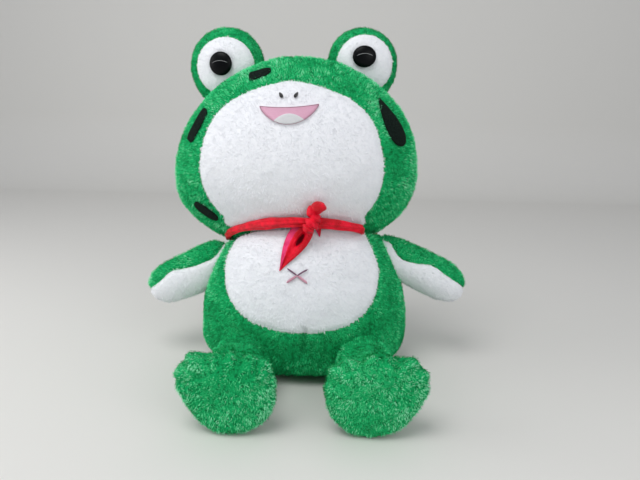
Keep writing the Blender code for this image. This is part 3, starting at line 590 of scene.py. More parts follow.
def ramp(tree, value, low, high):
    """A smooth step from 0 at low to 1 at high."""
    settings = {"interpolation_type": "SMOOTHSTEP"}
    made = node(tree, "ShaderNodeMapRange", settings, Value=value, From_Min=low, From_Max=high)
    return made.outputs["Result"]


def maths(tree, operation, *values):
    inputs = {f"_{index}": value for index, value in enumerate(values)}
    return node(tree, "ShaderNodeMath", {"operation": operation}, **inputs).outputs[0]


def own_place(tree):
    return node(tree, "ShaderNodeTexCoord").outputs["Object"]


def mix(tree, share, first, second):
    made = node(tree, "ShaderNodeMix", {"data_type": "RGBA"}, _0=share, _6=first, _7=second)
    return made.outputs[2]


def noise(tree, vector, scale, detail=3.0, roughness=0.6):
    made = node(tree, "ShaderNodeTexNoise", Vector=vector, Scale=scale, Detail=detail, Roughness=roughness)
    return made.outputs["Fac"]


def pile_tones_group():
    """The mottled tones between pile fibres: light tips, mid tone and deep roots, which are painted light on
    the tips and painted shade at the roots and in the gaps.
    """
    colour = "NodeSocketColor"
    group, given, out = new_group(
        "pile tones",
        [(label, colour, (0.5, 0.5, 0.5, 1)) for label in ("Light", "Mid", "Deep")],
        [("Color", colour), ("Height", "NodeSocketFloat")],
    )
    place = own_place(group)
    clumps = noise(group, place, 260.0, 4.0, 0.65)
    fibres = noise(group, place, 900.0, 2.0, 0.6)
    soft = noise(group, place, 28.0, 2.0, 0.5)
    mid = mix(group, ramp(group, clumps, 0.34, 0.56), given.outputs["Deep"], given.outputs["Mid"])
    both = maths(group, "MULTIPLY", ramp(group, fibres, 0.48, 0.66), ramp(group, soft, 0.40, 0.62))
    group.links.new(mix(group, both, mid, given.outputs["Light"]), out.inputs["Color"])
    group.links.new(maths(group, "ADD", clumps, fibres), out.inputs["Height"])
    return group


def thread_rows_group():
    """Rows of satin stitches, laid side by side, with painted shade in the darker gaps between rows."""
    colour = "NodeSocketColor"
    group, given, out = new_group(
        "thread rows",
        [
            ("Thread", colour, (1, 1, 1, 1)), ("Gap", colour, (0, 0, 0, 1)),
            ("Rows", "NodeSocketFloat", 700.0), ("Turn", "NodeSocketFloat", 0.0),
        ],
        [("Color", colour), ("Height", "NodeSocketFloat")],
    )
    place = own_place(group)
    turned = node(group, "ShaderNodeVectorRotate", {"rotation_type": "Y_AXIS"}, Vector=place,
                  Angle=given.outputs["Turn"])
    rows = node(group, "ShaderNodeTexWave", {"wave_profile": "SIN"}, Vector=turned.outputs["Vector"],
                Scale=given.outputs["Rows"], Distortion=1.2, Detail=1.0, Detail_Scale=2.0)
    ends = noise(group, place, 420.0, 2.0)
    share = maths(group, "MULTIPLY", rows.outputs["Fac"], ramp(group, ends, 0.25, 0.5))
    group.links.new(mix(group, share, given.outputs["Gap"], given.outputs["Thread"]), out.inputs["Color"])
    group.links.new(rows.outputs["Fac"], out.inputs["Height"])
    return group


PILE_TONES = pile_tones_group()
THREAD_ROWS = thread_rows_group()


def new_material(name, roughness, **constants):
    """A material with its shader, whose plain values are set on the shader itself."""
    made = bpy.data.materials.new(name)
    made.use_nodes = True
    tree = made.node_tree
    shader = tree.nodes["Principled BSDF"]
    shader.inputs["Roughness"].default_value = roughness
    for label, value in constants.items():
        shader.inputs[label.replace("_", " ")].default_value = value
    return made, tree, shader


def grouped(tree, group, **values):
    made = tree.nodes.new("ShaderNodeGroup")
    made.node_tree = group
    for label, value in values.items():
        made.inputs[label].default_value = value
    return made


def bump(tree, shader, height, distance, strength=1.0):
    made = node(tree, "ShaderNodeBump", Height=height, Distance=distance, Strength=strength)
    tree.links.new(made.outputs["Normal"], shader.inputs["Normal"])


def plush_material(name, light, mid, deep, depth):
    """The backing and the roots of the pile."""
    made, tree, shader = new_material(name, roughness=0.95, Specular_IOR_Level=0.15)
    tones = grouped(tree, PILE_TONES, Light=(*light, 1), Mid=(*mid, 1), Deep=(*deep, 1))
    tree.links.new(tones.outputs["Color"], shader.inputs["Base Color"])
    bump(tree, shader, tones.outputs["Height"], depth)
    return made


def fibre_materials(name, colours):
    """The tones of the loose fibres, which are real strands."""
    return [
        new_material(f"{name} {label}", 0.85, Base_Color=(*colour, 1), Specular_IOR_Level=0.15)[0]
        for label, colour in zip(FIBRE_LABELS, colours)
    ]


def thread_material(name, thread, gap, rows, turn):
    made, tree, shader = new_material(name, roughness=0.5, Sheen_Weight=0.2)
    stitches = grouped(tree, THREAD_ROWS, Thread=(*thread, 1), Gap=(*gap, 1), Rows=rows, Turn=turn)
    tree.links.new(stitches.outputs["Color"], shader.inputs["Base Color"])
    bump(tree, shader, stitches.outputs["Height"], 0.0004)
    return made


def felt_material():
    made, tree, shader = new_material("black felt", roughness=0.95, Specular_IOR_Level=0.1)
    matted = noise(tree, own_place(tree), 700.0, 5.0, 0.7)
    colour = mix(tree, ramp(tree, matted, 0.35, 0.7), (0.0015, 0.004, 0.003, 1), (0.012, 0.024, 0.018, 1))
    tree.links.new(colour, shader.inputs["Base Color"])
    bump(tree, shader, matted, 0.0008)
    return made


def satin_material(name, dark, bright, sheen_tint):
    """Satin: a fine weave, with creases that catch the light: their light and shade are painted into the
    colour, and bumped.
    """
    made, tree, shader = new_material(
        name, 0.42, Sheen_Weight=0.14, Sheen_Roughness=0.3, Sheen_Tint=(*sheen_tint, 1),
        Specular_IOR_Level=0.3)
    place = own_place(tree)
    settings = {"wave_profile": "SIN", "bands_direction": "DIAGONAL"}
    weave = node(tree, "ShaderNodeTexWave", settings, Vector=place, Scale=900.0, Distortion=0.5)
    creases = noise(tree, place, 90.0, 3.0)
    # Painted light and shade of the creases, mixed into the colour
    colour = mix(tree, ramp(tree, creases, 0.35, 0.65), (*dark, 1), (*bright, 1))
    tree.links.new(colour, shader.inputs["Base Color"])
    bump(tree, shader, maths(tree, "MULTIPLY_ADD", weave.outputs["Fac"], 0.25, creases), 0.0010, 0.7)
    return made


def plastic_material(name, colour, roughness, coat):
    made, tree, shader = new_material(
        name, roughness, Coat_Weight=coat, Coat_Roughness=0.25, Specular_IOR_Level=0.10)
    flow = noise(tree, own_place(tree), 160.0, 2.0)
    paler = tuple(1.35 * value for value in colour)
    tree.links.new(mix(tree, flow, (*colour, 1), (*paler, 1)), shader.inputs["Base Color"])
    bump(tree, shader, flow, 0.00005)
    return made


# The cloths' tones are lit and shaded copies of one colour each, from painted light down to painted shade
GREEN = plush_material("green plush", (0.050, 0.56, 0.21), (0.006, 0.38, 0.115), (0.001, 0.15, 0.040), 0.0010)
WHITE = plush_material("white plush", (0.87, 0.88, 0.91), (0.85, 0.86, 0.89), (0.81, 0.825, 0.86), 0.0004)
GREEN_FIBRES = fibre_materials("green fibres", [
    (0.270, 0.82, 0.480),
    (0.090, 0.70, 0.290),
    (0.016, 0.54, 0.180),
    (0.003, 0.33, 0.095),
    (0.001, 0.19, 0.052),
])
WHITE_FIBRES = fibre_materials("white fibres", [
    (0.87, 0.88, 0.91),
    (0.855, 0.865, 0.895),
    (0.84, 0.85, 0.88),
    (0.825, 0.835, 0.865),
    (0.79, 0.805, 0.84),
])
GREEN_CLOTH = (GREEN, GREEN_FIBRES, "green_plush")
WHITE_CLOTH = (WHITE, WHITE_FIBRES, "white_plush")
BLACK_FELT = felt_material()
# Each satin's dark and bright colours are its painted crease shade and painted crease light
RED_SATIN = satin_material("red satin", (0.60, 0.001, 0.010), (0.95, 0.003, 0.030), (1.0, 0.10, 0.30))
# Painted sheen: rose satin standing for the red satin's pinker sheen along the tails' left edges
PAINTED_SHEEN_SATIN = satin_material("rose satin painted sheen", (0.72, 0.012, 0.110), (0.95, 0.060, 0.220), (1.0, 0.30, 0.60))
# Painted shadow: dark satin laid in the hollow of each tail's fold
FOLD_PAINTED_SHADOW_SATIN = satin_material(
    "satin with painted fold shadow", (0.10, 0.0005, 0.004), (0.30, 0.001, 0.012), (0.6, 0.05, 0.15))
# Each thread's gap colour is a darker copy of it: painted shade between the stitch rows
PINK_THREAD = thread_material("pink thread", (0.97, 0.56, 0.73), (0.92, 0.46, 0.64), 520.0, 0.0)
WHITE_THREAD = thread_material("white thread", (0.93, 0.935, 0.95), (0.86, 0.87, 0.89), 520.0, 1.57)
MAUVE_THREAD = thread_material("mauve thread", (0.82, 0.42, 0.55), (0.62, 0.27, 0.40), 1100.0, 0.8)
BLACK_THREAD = thread_material("black thread", (0.004, 0.005, 0.005), (0.002, 0.002, 0.002), 700.0, 0.5)
PALE_PINK_THREAD = thread_material("pale pink thread", (0.98, 0.50, 0.64), (0.86, 0.36, 0.50), 800.0, 0.6)
DUSKY_THREAD = thread_material("dusky thread", (0.36, 0.13, 0.26), (0.14, 0.04, 0.10), 800.0, 0.6)
PUPIL_PLASTIC = plastic_material("black plastic", (0.0006, 0.0010, 0.0016), 0.35, 0.03)
# Painted highlight: the pale grey of the arc moulded across each pupil
PAINTED_HIGHLIGHT_PLASTIC = plastic_material("painted highlight line", (0.30, 0.30, 0.31), 0.4, 0.1)
WASHER_PLASTIC = plastic_material("washer plastic", (0.55, 0.55, 0.52), 0.4, 0.0)


# Forms
HEAD_SEAT = (
    Matrix.Translation(NECK) @ Matrix.Translation((HEAD_ASIDE, 0, 0))
    @ Euler((0, -HEAD_LEAN, -HEAD_YAW)).to_matrix().to_4x4()
)


def chin_draw(up):
    """How far the lower half of the head draws back at a height, starting gently."""
    gentle = np.clip(CHIN_DRAW_EASE - up, 0, 2 * CHIN_DRAW_EASE)
    beyond = np.maximum(-CHIN_DRAW_EASE - up, 0)
    return CHIN_DRAW_SHARE * (gentle ** 2 / (4 * CHIN_DRAW_EASE) + beyond)


def side_share(x, up):
    """The head's left side has sagged: it is narrower above and fuller at the jaw."""
    return np.where(x < 0, 1 - HEAD_SAG * (up - HEAD_SAG_LEVEL), 1.0)


def head_form(unit):
    """The head's bag, in the head's own place."""
    low = unit[:, 2] < 0
    z = unit[:, 2] * (np.where(low, HEAD_LOWER_HEIGHT, HEAD_UPPER_HEIGHT) - PILE_DEPTH)
    jaw_x, jaw_y = rounded(unit[:, 0], unit[:, 1], JAW_ROUND_SHARE)
    x, y = np.where(low, jaw_x, unit[:, 0]), np.where(low, jaw_y, unit[:, 1])
    y = y * (HEAD_HALF_DEPTH - PILE_DEPTH) + HEAD_BACK + chin_draw(z)
    return np.stack([x * (HEAD_HALF_WIDTH - PILE_DEPTH) * side_share(x, z), y, HEAD_RISE + z], axis=1)


def in_head(local):
    """Which points lie inside the outline of the head, pile and all."""
    z = local[:, 2] - HEAD_RISE
    half_height = np.where(z > 0, HEAD_UPPER_HEIGHT, HEAD_LOWER_HEIGHT)
    y = local[:, 1] - HEAD_BACK - chin_draw(z)
    x = local[:, 0] / side_share(local[:, 0], z)
    around = np.hypot(x / HEAD_HALF_WIDTH, y / HEAD_HALF_DEPTH)
    return around ** (2 / np.where(z > 0, 1.0, JAW_ROUND_SHARE)) + (z / half_height) ** 2 < 1


def head_front(x, z):
    """Where the face lies, in the head's own place."""
    up = z - HEAD_RISE
    half_height = np.where(up > 0, HEAD_UPPER_HEIGHT, HEAD_LOWER_HEIGHT) - PILE_DEPTH
    ring = np.maximum(1 - (up / half_height) ** 2, 0.0) ** np.where(up > 0, 1.0, JAW_ROUND_SHARE)
    across = x / side_share(x, up) / (HEAD_HALF_WIDTH - PILE_DEPTH)
    deep = np.sqrt(np.maximum(ring - across ** 2, 0.0)) * (HEAD_HALF_DEPTH - PILE_DEPTH)
    return HEAD_BACK + chin_draw(up) - deep


def torso_form(unit):
    x, y, z = unit.T
    low = z <= 0
    wide_x, wide_y = rounded(x, y, TORSO_BASE_POWER_SHARE)
    x, y = np.where(low, wide_x, x), np.where(low, wide_y, y)
    base = signed_power(z, TORSO_BASE_POWER_SHARE) * (TORSO_BELT_Z + FLOOR_FLAT - PILE_DEPTH)
    height = np.where(low, base, z * (TORSO_UPPER_HEIGHT - PILE_DEPTH))
    x, y = x * (TORSO_HALF_WIDTH - PILE_DEPTH), y * (TORSO_HALF_DEPTH - PILE_DEPTH)
    return np.stack([x, y, TORSO_BELT_Z + height], axis=1)


def torso_front(x, z):
    across = x / (TORSO_HALF_WIDTH - PILE_DEPTH)
    up = (z - TORSO_BELT_Z) / (TORSO_UPPER_HEIGHT - PILE_DEPTH)
    return -(TORSO_HALF_DEPTH - PILE_DEPTH) * np.sqrt(np.maximum(1 - across ** 2 - up ** 2, 0.0))


def turned_with_neck(points, turn):
    """Where cloth that follows the neck near the head lies once the neck has turned."""
    share = np.clip((points[:, 2] - FOLLOW_START[2]) / (FOLLOW_END[2] - FOLLOW_START[2]), 0, 1)
    angle = turn * share * share * (3 - 2 * share)
    x, y = points[:, 0] - NECK[0], points[:, 1] - NECK[1]
    return np.column_stack([
        NECK[0] + x * np.cos(angle) - y * np.sin(angle), NECK[1] + x * np.sin(angle) + y * np.cos(angle),
        points[:, 2]])


def sunk_under_head(points, follows=False):
    """Lowers the top of a piece until the head clears it in every pose."""
    points = points.copy()
    neck = Matrix.Translation(NECK)
    for turn in HEAD_TURNS:
        for nod in HEAD_NODS:
            pose = Matrix.Rotation(turn, 4, "Z") @ Matrix.Rotation(nod, 4, "X")
            to_head = (neck @ pose @ neck.inverted() @ HEAD_SEAT).inverted()
            own_turn = turn if follows else 0.0

            def hidden(height):
                tried = np.column_stack([points[:, :2], height])
                return in_head(moved(turned_with_neck(tried, own_turn), to_head))

            inside = hidden(points[:, 2])
            low = points[:, 2] - HEAD_RISE
            high = points[:, 2].copy()
            for step in range(SINK_STEPS):
                middle = (low + high) / 2
                within_head = hidden(middle)
                high = np.where(within_head, middle, high)
                low = np.where(within_head, low, middle)
            points[:, 2] = np.where(inside, low, points[:, 2])
    return points


def pressed(points, normals, distance, depth=SEAM_DEPTH, width=SEAM_WIDTH):
    """Draws a surface in along a seam."""
    return points - normals * (depth * np.exp(-(distance / width) ** 2))[:, None]


# Pile
def strewn(points, faces, chance):
    """Evenly strewn places on a surface, with their normals."""
    corners = points[faces]
    area = np.linalg.norm(np.cross(corners[:, 1] - corners[:, 0], corners[:, 2] - corners[:, 0]), axis=1) / 2
    count = int(area.sum() * PILE_PER_SQUARE_METRE)
    chosen = chance.choice(len(faces), count, p=area / area.sum())
    shares = chance.random((count, 2))
    over = shares.sum(axis=1) > 1
    shares[over] = 1 - shares[over]
    weights = np.column_stack([1 - shares.sum(axis=1), shares])[:, :, None]
    roots = (corners[chosen] * weights).sum(axis=1)
    return roots, (normals_of(points, faces)[faces[chosen]] * weights).sum(axis=1)


def pile_mesh(name, points, faces, comb, seed, length=PILE_LENGTH, clear_of=(), bare=None, shade=None):
    """Leaning fibres on a surface. Each takes a tone, by patch, clump and chance, and by the painted light
    and shade given for its place.
    """
    chance = np.random.default_rng(seed)
    roots, normals = strewn(points, faces, chance)
    keep = ~bare(roots) if bare else np.ones(len(roots), bool)
    for tree in clear_of:
        keep &= ~np.array([within(tree, root) for root in roots])
    roots, normals = roots[keep], unit_rows(normals[keep])
    flow = comb(roots) + CLUMP_FLOW * wandering(roots, CLUMP, seed + 1)
    flow += TUFT_FLOW * wandering(roots, TUFT, seed + 5)
    flow += chance.normal(0, STRAY_FLOW, flow.shape)
    flow -= normals * (flow * normals).sum(axis=1, keepdims=True)
    flow = unit_rows(flow)
    clump = drift(roots, CLUMP, seed + 9) + SMALL_CLUMP_SHARE * drift(roots, SMALL_CLUMP, seed + 10)
    shortest, longer = REACH_SHARES
    reach = (length * (shortest + longer * clump) * chance.uniform(*REACH_CHANCE, len(roots)))[:, None]
    lean = (PILE_LEAN * (1 - LEAN_CHANCE * clump) + chance.normal(0, LEAN_CHANCE, len(roots)))[:, None]
    knee = roots + reach * 0.5 * (np.cos(lean * KNEE_LEAN) * normals + np.sin(lean * KNEE_LEAN) * flow)
    tip = knee + reach * 0.5 * (np.cos(lean * TIP_LEAN) * normals + np.sin(lean * TIP_LEAN) * flow)
    aside = np.cross(normals, flow) + normals * chance.normal(0, FIBRE_ROLL, len(roots))[:, None]
    aside *= PILE_WIDTH / 2 / np.linalg.norm(aside, axis=1, keepdims=True)
    roots = roots - normals * reach * ROOT_SINK
    narrow = aside * KNEE_WIDTH
    strands = np.stack([roots - aside, roots + aside, knee - narrow, knee + narrow, tip], axis=1)
    strands[:, :, 2] = np.maximum(strands[:, :, 2], FLOOR_FLAT / 2)
    start = np.arange(len(roots))[:, None] * 5
    lower = start + np.array([0, 1, 3, 2])
    upper = start + np.array([2, 3, 4])
    mesh = mesh_of(name, strands.reshape(-1, 3), [lower, upper])
    # Tone by clump is painted light on the clumps and painted shade between them; patch and chance vary it at
    # random; shade() adds the painted light and shade of each place
    tone = TONE_BY_CLUMP * clump + TONE_BY_PATCH * drift(roots, PATCH, seed + 12)
    tone += chance.normal(0, TONE_CHANCE, len(roots))
    if shade:
        tone -= shade(roots)
    tones = np.searchsorted(-np.array(TONE_STEPS), -tone)
    mesh.polygons.foreach_set("material_index", np.concatenate([tones, tones]).astype(np.int32))
    return mesh


def within(tree, place):
    found = tree.find_nearest(Vector(place))
    return (Vector(place) - found[0]).dot(found[1]) < 0


def solid_tree(points, faces):
    return BVHTree.FromPolygons(points.tolist(), faces.tolist())


def seated_tree(form, seat):
    points, faces = form
    return solid_tree(moved(points, seat), faces)


def outward(centre, down=0.35, out=0.8):
    """A comb that runs away from a centre, and a little down."""
    def comb(roots):
        return unit_rows(roots - np.array(centre)) * out + np.array([0, 0, -down])
    return comb


def bag(name, body, points, faces, kept, cloth, comb, replaces, bend=None, **pile):
    """One sewn piece: its backing, and its pile as a piece of its own."""
    plush, fibres, slot = cloth
    own_points, own_faces = part_of(points, faces, kept)
    backing = piece(name, mesh_of(name, own_points, own_faces), plush, replaces)
    kind, side = name.split("_plush")
    seed = PILE_SEEDS[kind] + SIDES.get(side.strip("_"), 0)
    hairs = pile_mesh(f"{name}_pile", own_points, own_faces, comb, seed, **pile)
    for thing in (backing, piece(f"{name}_pile", hairs, fibres)):
        if bend:
            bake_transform(thing)
        else:
            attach(thing, body)


def front_outline(outline, points):
    """Distance to an outline seen from the front. What lies behind counts as outside."""
    distance = outline_distance(points[:, [0, 2]], outline)
    return np.where(points[:, 1] < 0, distance, np.abs(distance) + SEAM_WIDTH)


def front_radius(points, place, limit=0.0):
    """Distance from a place on the front, large for what lies behind."""
    return np.where(points[:, 1] < limit, np.hypot(points[:, 0] - place[0], points[:, 2] - place[1]), 1.0)


FACE = egg_outline(
    FACE_BOTTOM, FACE_WIDEST, FACE_TOP, FACE_HALF_WIDTH, FACE_LOWER_SHARES, FACE_UPPER_SHARES, "top")
BELLY = egg_outline(
    BELLY_BOTTOM, BELLY_WIDEST, BELLY_TOP, BELLY_HALF_WIDTH, BELLY_LOWER_SHARES, BELLY_UPPER_SHARES, "bottom")
BELLY[:, 0] += BELLY_ASIDE


def lower_lip(x):
    return MOUTH_Z - MOUTH_DROP * (1 - (x / MOUTH_HALF_WIDTH) ** 2) ** MOUTH_ROUND_SHARE


def sewn_aslant(outline):
    """The mouth sits a little to the right, with its right corner higher."""
    return outline + np.column_stack([np.full(len(outline), MOUTH_ASIDE), MOUTH_SLOPE * outline[:, 0]])


def mouth_outline(steps=24):
    across = np.cos(np.pi * np.arange(1, steps) / steps)
    upper = np.column_stack([MOUTH_HALF_WIDTH * across, MOUTH_Z - MOUTH_SAG * (1 - across ** 2)])
    lower = np.column_stack([-MOUTH_HALF_WIDTH * across, lower_lip(MOUTH_HALF_WIDTH * across)])
    corners = np.array([[-MOUTH_HALF_WIDTH, MOUTH_Z]]), np.array([[MOUTH_HALF_WIDTH, MOUTH_Z]])
    return np.concatenate([corners[0], lower, corners[1], upper])


def tongue_outline(steps=16):
    across = TONGUE_HALF_WIDTH * np.cos(np.pi * np.arange(steps + 1) / steps)
    low = np.column_stack([-across, lower_lip(across)])
    hill = TONGUE_HILL * (1 - (across / TONGUE_HALF_WIDTH) ** 2)
    high = np.column_stack([across, lower_lip(TONGUE_HALF_WIDTH) + hill])[1:-1]
    return np.concatenate([low, high])


MOUTH = sewn_aslant(mouth_outline())
TONGUE = sewn_aslant(tongue_outline())
NOSTRILS = {
    side: oval_outline((way * NOSTRIL_OUT, NOSTRIL_Z), NOSTRIL_HALF_LENGTH, NOSTRIL_HALF_WIDTH,
                       math.radians(90) - way * NOSTRIL_TILT, NOSTRIL_TAPER)
    for side, way in SIDES.items()
}
SPOT_OUTLINES = {
    name: oval_outline((out, up), half_length, half_width, math.radians(tilt), taper, square=square)
    for name, (out, up, half_length, half_width, tilt, taper, square) in SPOTS.items()
}


def sewn_patch(name, outline, finish, replaces, rise, crown=0.0):
    """A flat sewn or embroidered piece on the head, with a rounded edge."""
    count = len(outline)
    middle = outline.mean(axis=0)
    steps = np.linspace(0, 1, PATCH_RINGS)[1:]
    shares = np.sin(np.linspace(0, np.pi / 2, PATCH_RINGS))[1:]
    flat = np.concatenate([[middle], *[middle + (outline - middle) * share for share in shares], outline])
    edge = np.concatenate([[0.0], np.repeat(steps, count)])
    lift = rise + crown * (1 - edge ** 2) - PATCH_EDGE * edge ** 6
    lift = np.concatenate([lift, np.full(count, -rise)])
    points = np.column_stack([flat[:, 0], head_front(flat[:, 0], flat[:, 1]) - lift, flat[:, 1]])
    here = np.arange(count)
    after = np.roll(here, -1)
    fan = np.column_stack([np.zeros(count, int), 1 + here, 1 + after])
    band = np.column_stack([1 + here, 1 + count + here, 1 + count + after, 1 + after])
    bands = np.concatenate([band + ring * count for ring in range(PATCH_RINGS - 1)])
    piece(name, mesh_of(name, moved(points, HEAD_SEAT), [fan, bands]), finish, replaces, "head")


def tube_mesh(name, path, radius, sides=8, closed=False):
    """A round thread along a path, thinner at its open ends."""
    path = np.array(path, float)
    ahead = unit_rows(np.roll(path, -1, 0) - np.roll(path, 1, 0) if closed else np.gradient(path, axis=0))
    aside = unit_rows(np.cross(ahead, (0.0, -1.0, 0.0)))
    up = np.cross(aside, ahead)
    turn = np.arange(sides) / sides * math.tau
    share = np.ones(len(path)) if closed else np.sqrt(np.clip(
        np.minimum(np.arange(len(path)), np.arange(len(path))[::-1]) / 2.0, 0.05, 1))
    ring = aside[:, None] * np.cos(turn)[None, :, None] + up[:, None] * np.sin(turn)[None, :, None]
    points = path[:, None] + ring * (radius * share)[:, None, None]
    return grid_mesh(name, points, closed)


def grid_mesh(name, points, closed, round_too=True):
    """A mesh over rows of points: the rows are rings, and may close on themselves too."""
    rows, columns = points.shape[:2]
    index = np.arange(rows * columns).reshape(rows, columns)
    if closed:
        index = np.concatenate([index, index[:1]])
    if round_too:
        index = np.concatenate([index, index[:, :1]], axis=1)
    faces = np.stack([index[:-1, :-1], index[:-1, 1:], index[1:, 1:], index[1:, :-1]], axis=-1).reshape(-1, 4)
    return mesh_of(name, points.reshape(-1, 3), faces)


# Head
def build_head(eye_trees):
    unit, faces = unit_ball(7)
    local = head_form(unit)
    normals = normals_of(local, faces)
    local = uneven(local, normals, *HEAD_WAVES)
    distance = front_outline(FACE, local)
    local = pressed(local, normals, distance)
    bed, reach = FELT_BED
    for outline in SPOT_OUTLINES.values():
        local = local - normals * (bed * (front_outline(outline, local) < reach))[:, None]
    face_side = distance[faces].mean(axis=1) < 0
    points = moved(local, HEAD_SEAT)

    def under(outlines, margin):
        def bare(roots):
            flat = moved(roots, HEAD_SEAT.inverted())
            return np.min([front_outline(outline, flat) for outline in outlines], axis=0) < margin
        return bare

    centre = moved(np.array([HEAD_COMB_CENTRE]), HEAD_SEAT)[0]
    bag("head_plush", "head", points, faces, ~face_side, GREEN_CLOTH, outward(centre),
        ["head_skin", "head_stuffing"], clear_of=eye_trees,
        bare=under(SPOT_OUTLINES.values(), BARE_ROUND_FELT))
    bag("face_plush", "head", points, faces, face_side, WHITE_CLOTH, outward(centre, down=0.45),
        ["face_panel"], length=PILE_LENGTH * WHITE_PILE_SHARES["face"],
        bare=under([MOUTH, *NOSTRILS.values()], BARE_ROUND_THREAD))
    return solid_tree(points, faces)


def build_face():
    for name, outline in SPOT_OUTLINES.items():
        sewn_patch(name.replace("spot", "felt_spot"), outline, BLACK_FELT, [name],
                   FELT_RISE, FELT_CROWN)
    sewn_patch("mouth_embroidery", MOUTH, PINK_THREAD, ["mouth_patch"], THREAD_RISE)
    sewn_patch("tongue_embroidery", TONGUE, WHITE_THREAD, ["tongue_patch"],
               TONGUE_RISE, THREAD_CROWN)
    rim = np.column_stack([MOUTH[:, 0], head_front(MOUTH[:, 0], MOUTH[:, 1]) - THREAD_RISE, MOUTH[:, 1]])
    edge = tube_mesh("mouth_edge_stitch", moved(rim, HEAD_SEAT), MOUTH_LINE / 2, closed=True)
    piece("mouth_edge_stitch", edge, MAUVE_THREAD, ["mouth_line"], "head")
    for side in SIDES:
        sewn_patch(f"nostril_stitch_{side}", NOSTRILS[side], BLACK_THREAD, [f"nostril_{side}"],
                   THREAD_RISE, THREAD_CROWN)


# Eyes
def eye_seat(way):
    crown = HEAD_RISE + HEAD_UPPER_HEIGHT * math.sqrt(1 - (EYE_OUT / HEAD_HALF_WIDTH) ** 2)
    place = (EYE_ASIDE + way * EYE_OUT, EYE_BACK, crown + EYE_PROUD)
    return HEAD_SEAT @ Matrix.Translation(place) @ Matrix.Rotation(way * EYE_SPLAY, 4, "Z")


def eye_points(side):
    unit, faces = unit_ball(6)
    points = unit * (np.array([EYE_HALF_WIDTHS[side], EYE_HALF_DEPTH, EYE_HALF_WIDTHS[side]]) - PILE_DEPTH)
    points[:, 2] *= np.where(points[:, 2] < 0, EYE_LOW_SHARE, 1.0)
    return points, faces


def build_eye(side, way, head_tree):
    seat = eye_seat(way)
    local, faces = eye_points(side)
    normals = normals_of(local, faces)
    local = uneven(local, normals, (*EYE_WAVE, 31 + way))
    ring = oval_outline(EYE_WINDOW_PLACES[side], *EYE_WINDOW_HALVES[side], 0, count=EYE_RING_STEPS)
    distance = front_outline(ring, local)
    local = pressed(local, normals, distance)
    place = np.array([way * PUPIL_OUT, PUPIL_UPS[side]])
    dimple = np.maximum(front_radius(local, place) - PUPIL_RADIUS * PUPIL_DIMPLE_SHARE, 0)
    local = pressed(local, normals, dimple, *PUPIL_DIMPLE)
    white_side = distance[faces].mean(axis=1) < 0
    points = moved(local, seat)

    def under_pupil(roots):
        return front_radius(moved(roots, seat.inverted()), place) < PUPIL_RADIUS - PUPIL_EDGE

    middle = moved(np.array([EYE_COMB_CENTRE]), seat)[0]
    # The eye back's pile carries painted shade
    bag(f"eye_back_plush_{side}", "head", points, faces, ~white_side, GREEN_CLOTH, outward(middle),
        [f"eye_back_{side}", f"eye_stuffing_{side}"], clear_of=[head_tree], length=EYE_PILE,
        shade=lambda roots: np.full(len(roots), EYE_BACK_PAINTED_SHADE))
    bag(f"eye_front_plush_{side}", "head", points, faces, white_side, WHITE_CLOTH, outward(middle, down=0.2),
        [f"eye_front_{side}"], length=EYE_PILE * WHITE_PILE_SHARES["eye"], clear_of=[head_tree],
        bare=under_pupil)
    build_pupil(side, seat, place)


def build_pupil(side, seat, place):
    """A glossy dome with a turned edge, and the fine arc moulded across it, its pale colour a painted
    highlight.
    """
    base = -EYE_HALF_DEPTH + PUPIL_SUNK
    dome = [
        (PUPIL_RADIUS * math.sin(angle), -PUPIL_RISE * math.cos(angle))
        for angle in np.linspace(math.pi / 2, 0, PUPIL_RINGS + 1)[1:-1]
    ]
    turn = np.arange(PUPIL_SIDES) / PUPIL_SIDES * math.tau
    height = PUPIL_HEIGHT_SHARES[side]
    rings = np.array([
        np.column_stack([
            place[0] + radius * np.cos(turn),
            np.full(PUPIL_SIDES, base + depth),
            place[1] + height * radius * np.sin(turn),
        ])
        for radius, depth in [*PUPIL_FOOT, *dome, (1e-5, -PUPIL_RISE)]
    ])
    mesh = grid_mesh(f"pupil_dome_{side}", moved(rings.reshape(-1, 3), seat).reshape(rings.shape), False)
    piece(f"pupil_dome_{side}", mesh, PUPIL_PLASTIC, [f"pupil_{side}"], "head")
    across = np.linspace(-1, 1, 25)
    x = across * PUPIL_LINE_HALF_WIDTH
    z = PUPIL_LINE_RISE * (1 - across ** 2) - PUPIL_LINE_DROP
    round_share = np.sqrt(np.maximum(1 - (x ** 2 + z ** 2) / PUPIL_RADIUS ** 2, 0))
    path = np.column_stack([place[0] + x, base - PUPIL_RISE * round_share, place[1] + z])
    # The arc's pale grey is a painted highlight along the moulded ridge
    line = tube_mesh(f"pupil_line_{side}", moved(path, seat), PUPIL_LINE_RADIUS, 6)
    piece(f"pupil_line_{side}", line, PAINTED_HIGHLIGHT_PLASTIC, body="head")


# Torso
def from_dart(points):
    """Distance from the short seam below the belly."""
    beyond = np.maximum(np.maximum(DART_LOW - points[:, 2], points[:, 2] - DART_HIGH), 0)
    sway, run = DART_SWAY
    aside = points[:, 0] - DART_X - sway * np.sin(points[:, 2] / run)
    return np.where(points[:, 1] < 0, np.hypot(aside, beyond), 1.0)


def torso_painted_shade(roots):
    """Painted shade: darker along the short seam's crease and low on the body, where shadow falls."""
    low = np.clip((BODY_PAINTED_SHADE_TOP - roots[:, 2]) / BODY_PAINTED_SHADE_TOP, 0, 1)
    dark, reach = DART_PAINTED_SHADE
    return dark * np.exp(-(from_dart(roots) / reach) ** 2) + BODY_PAINTED_SHADE * np.sqrt(low)


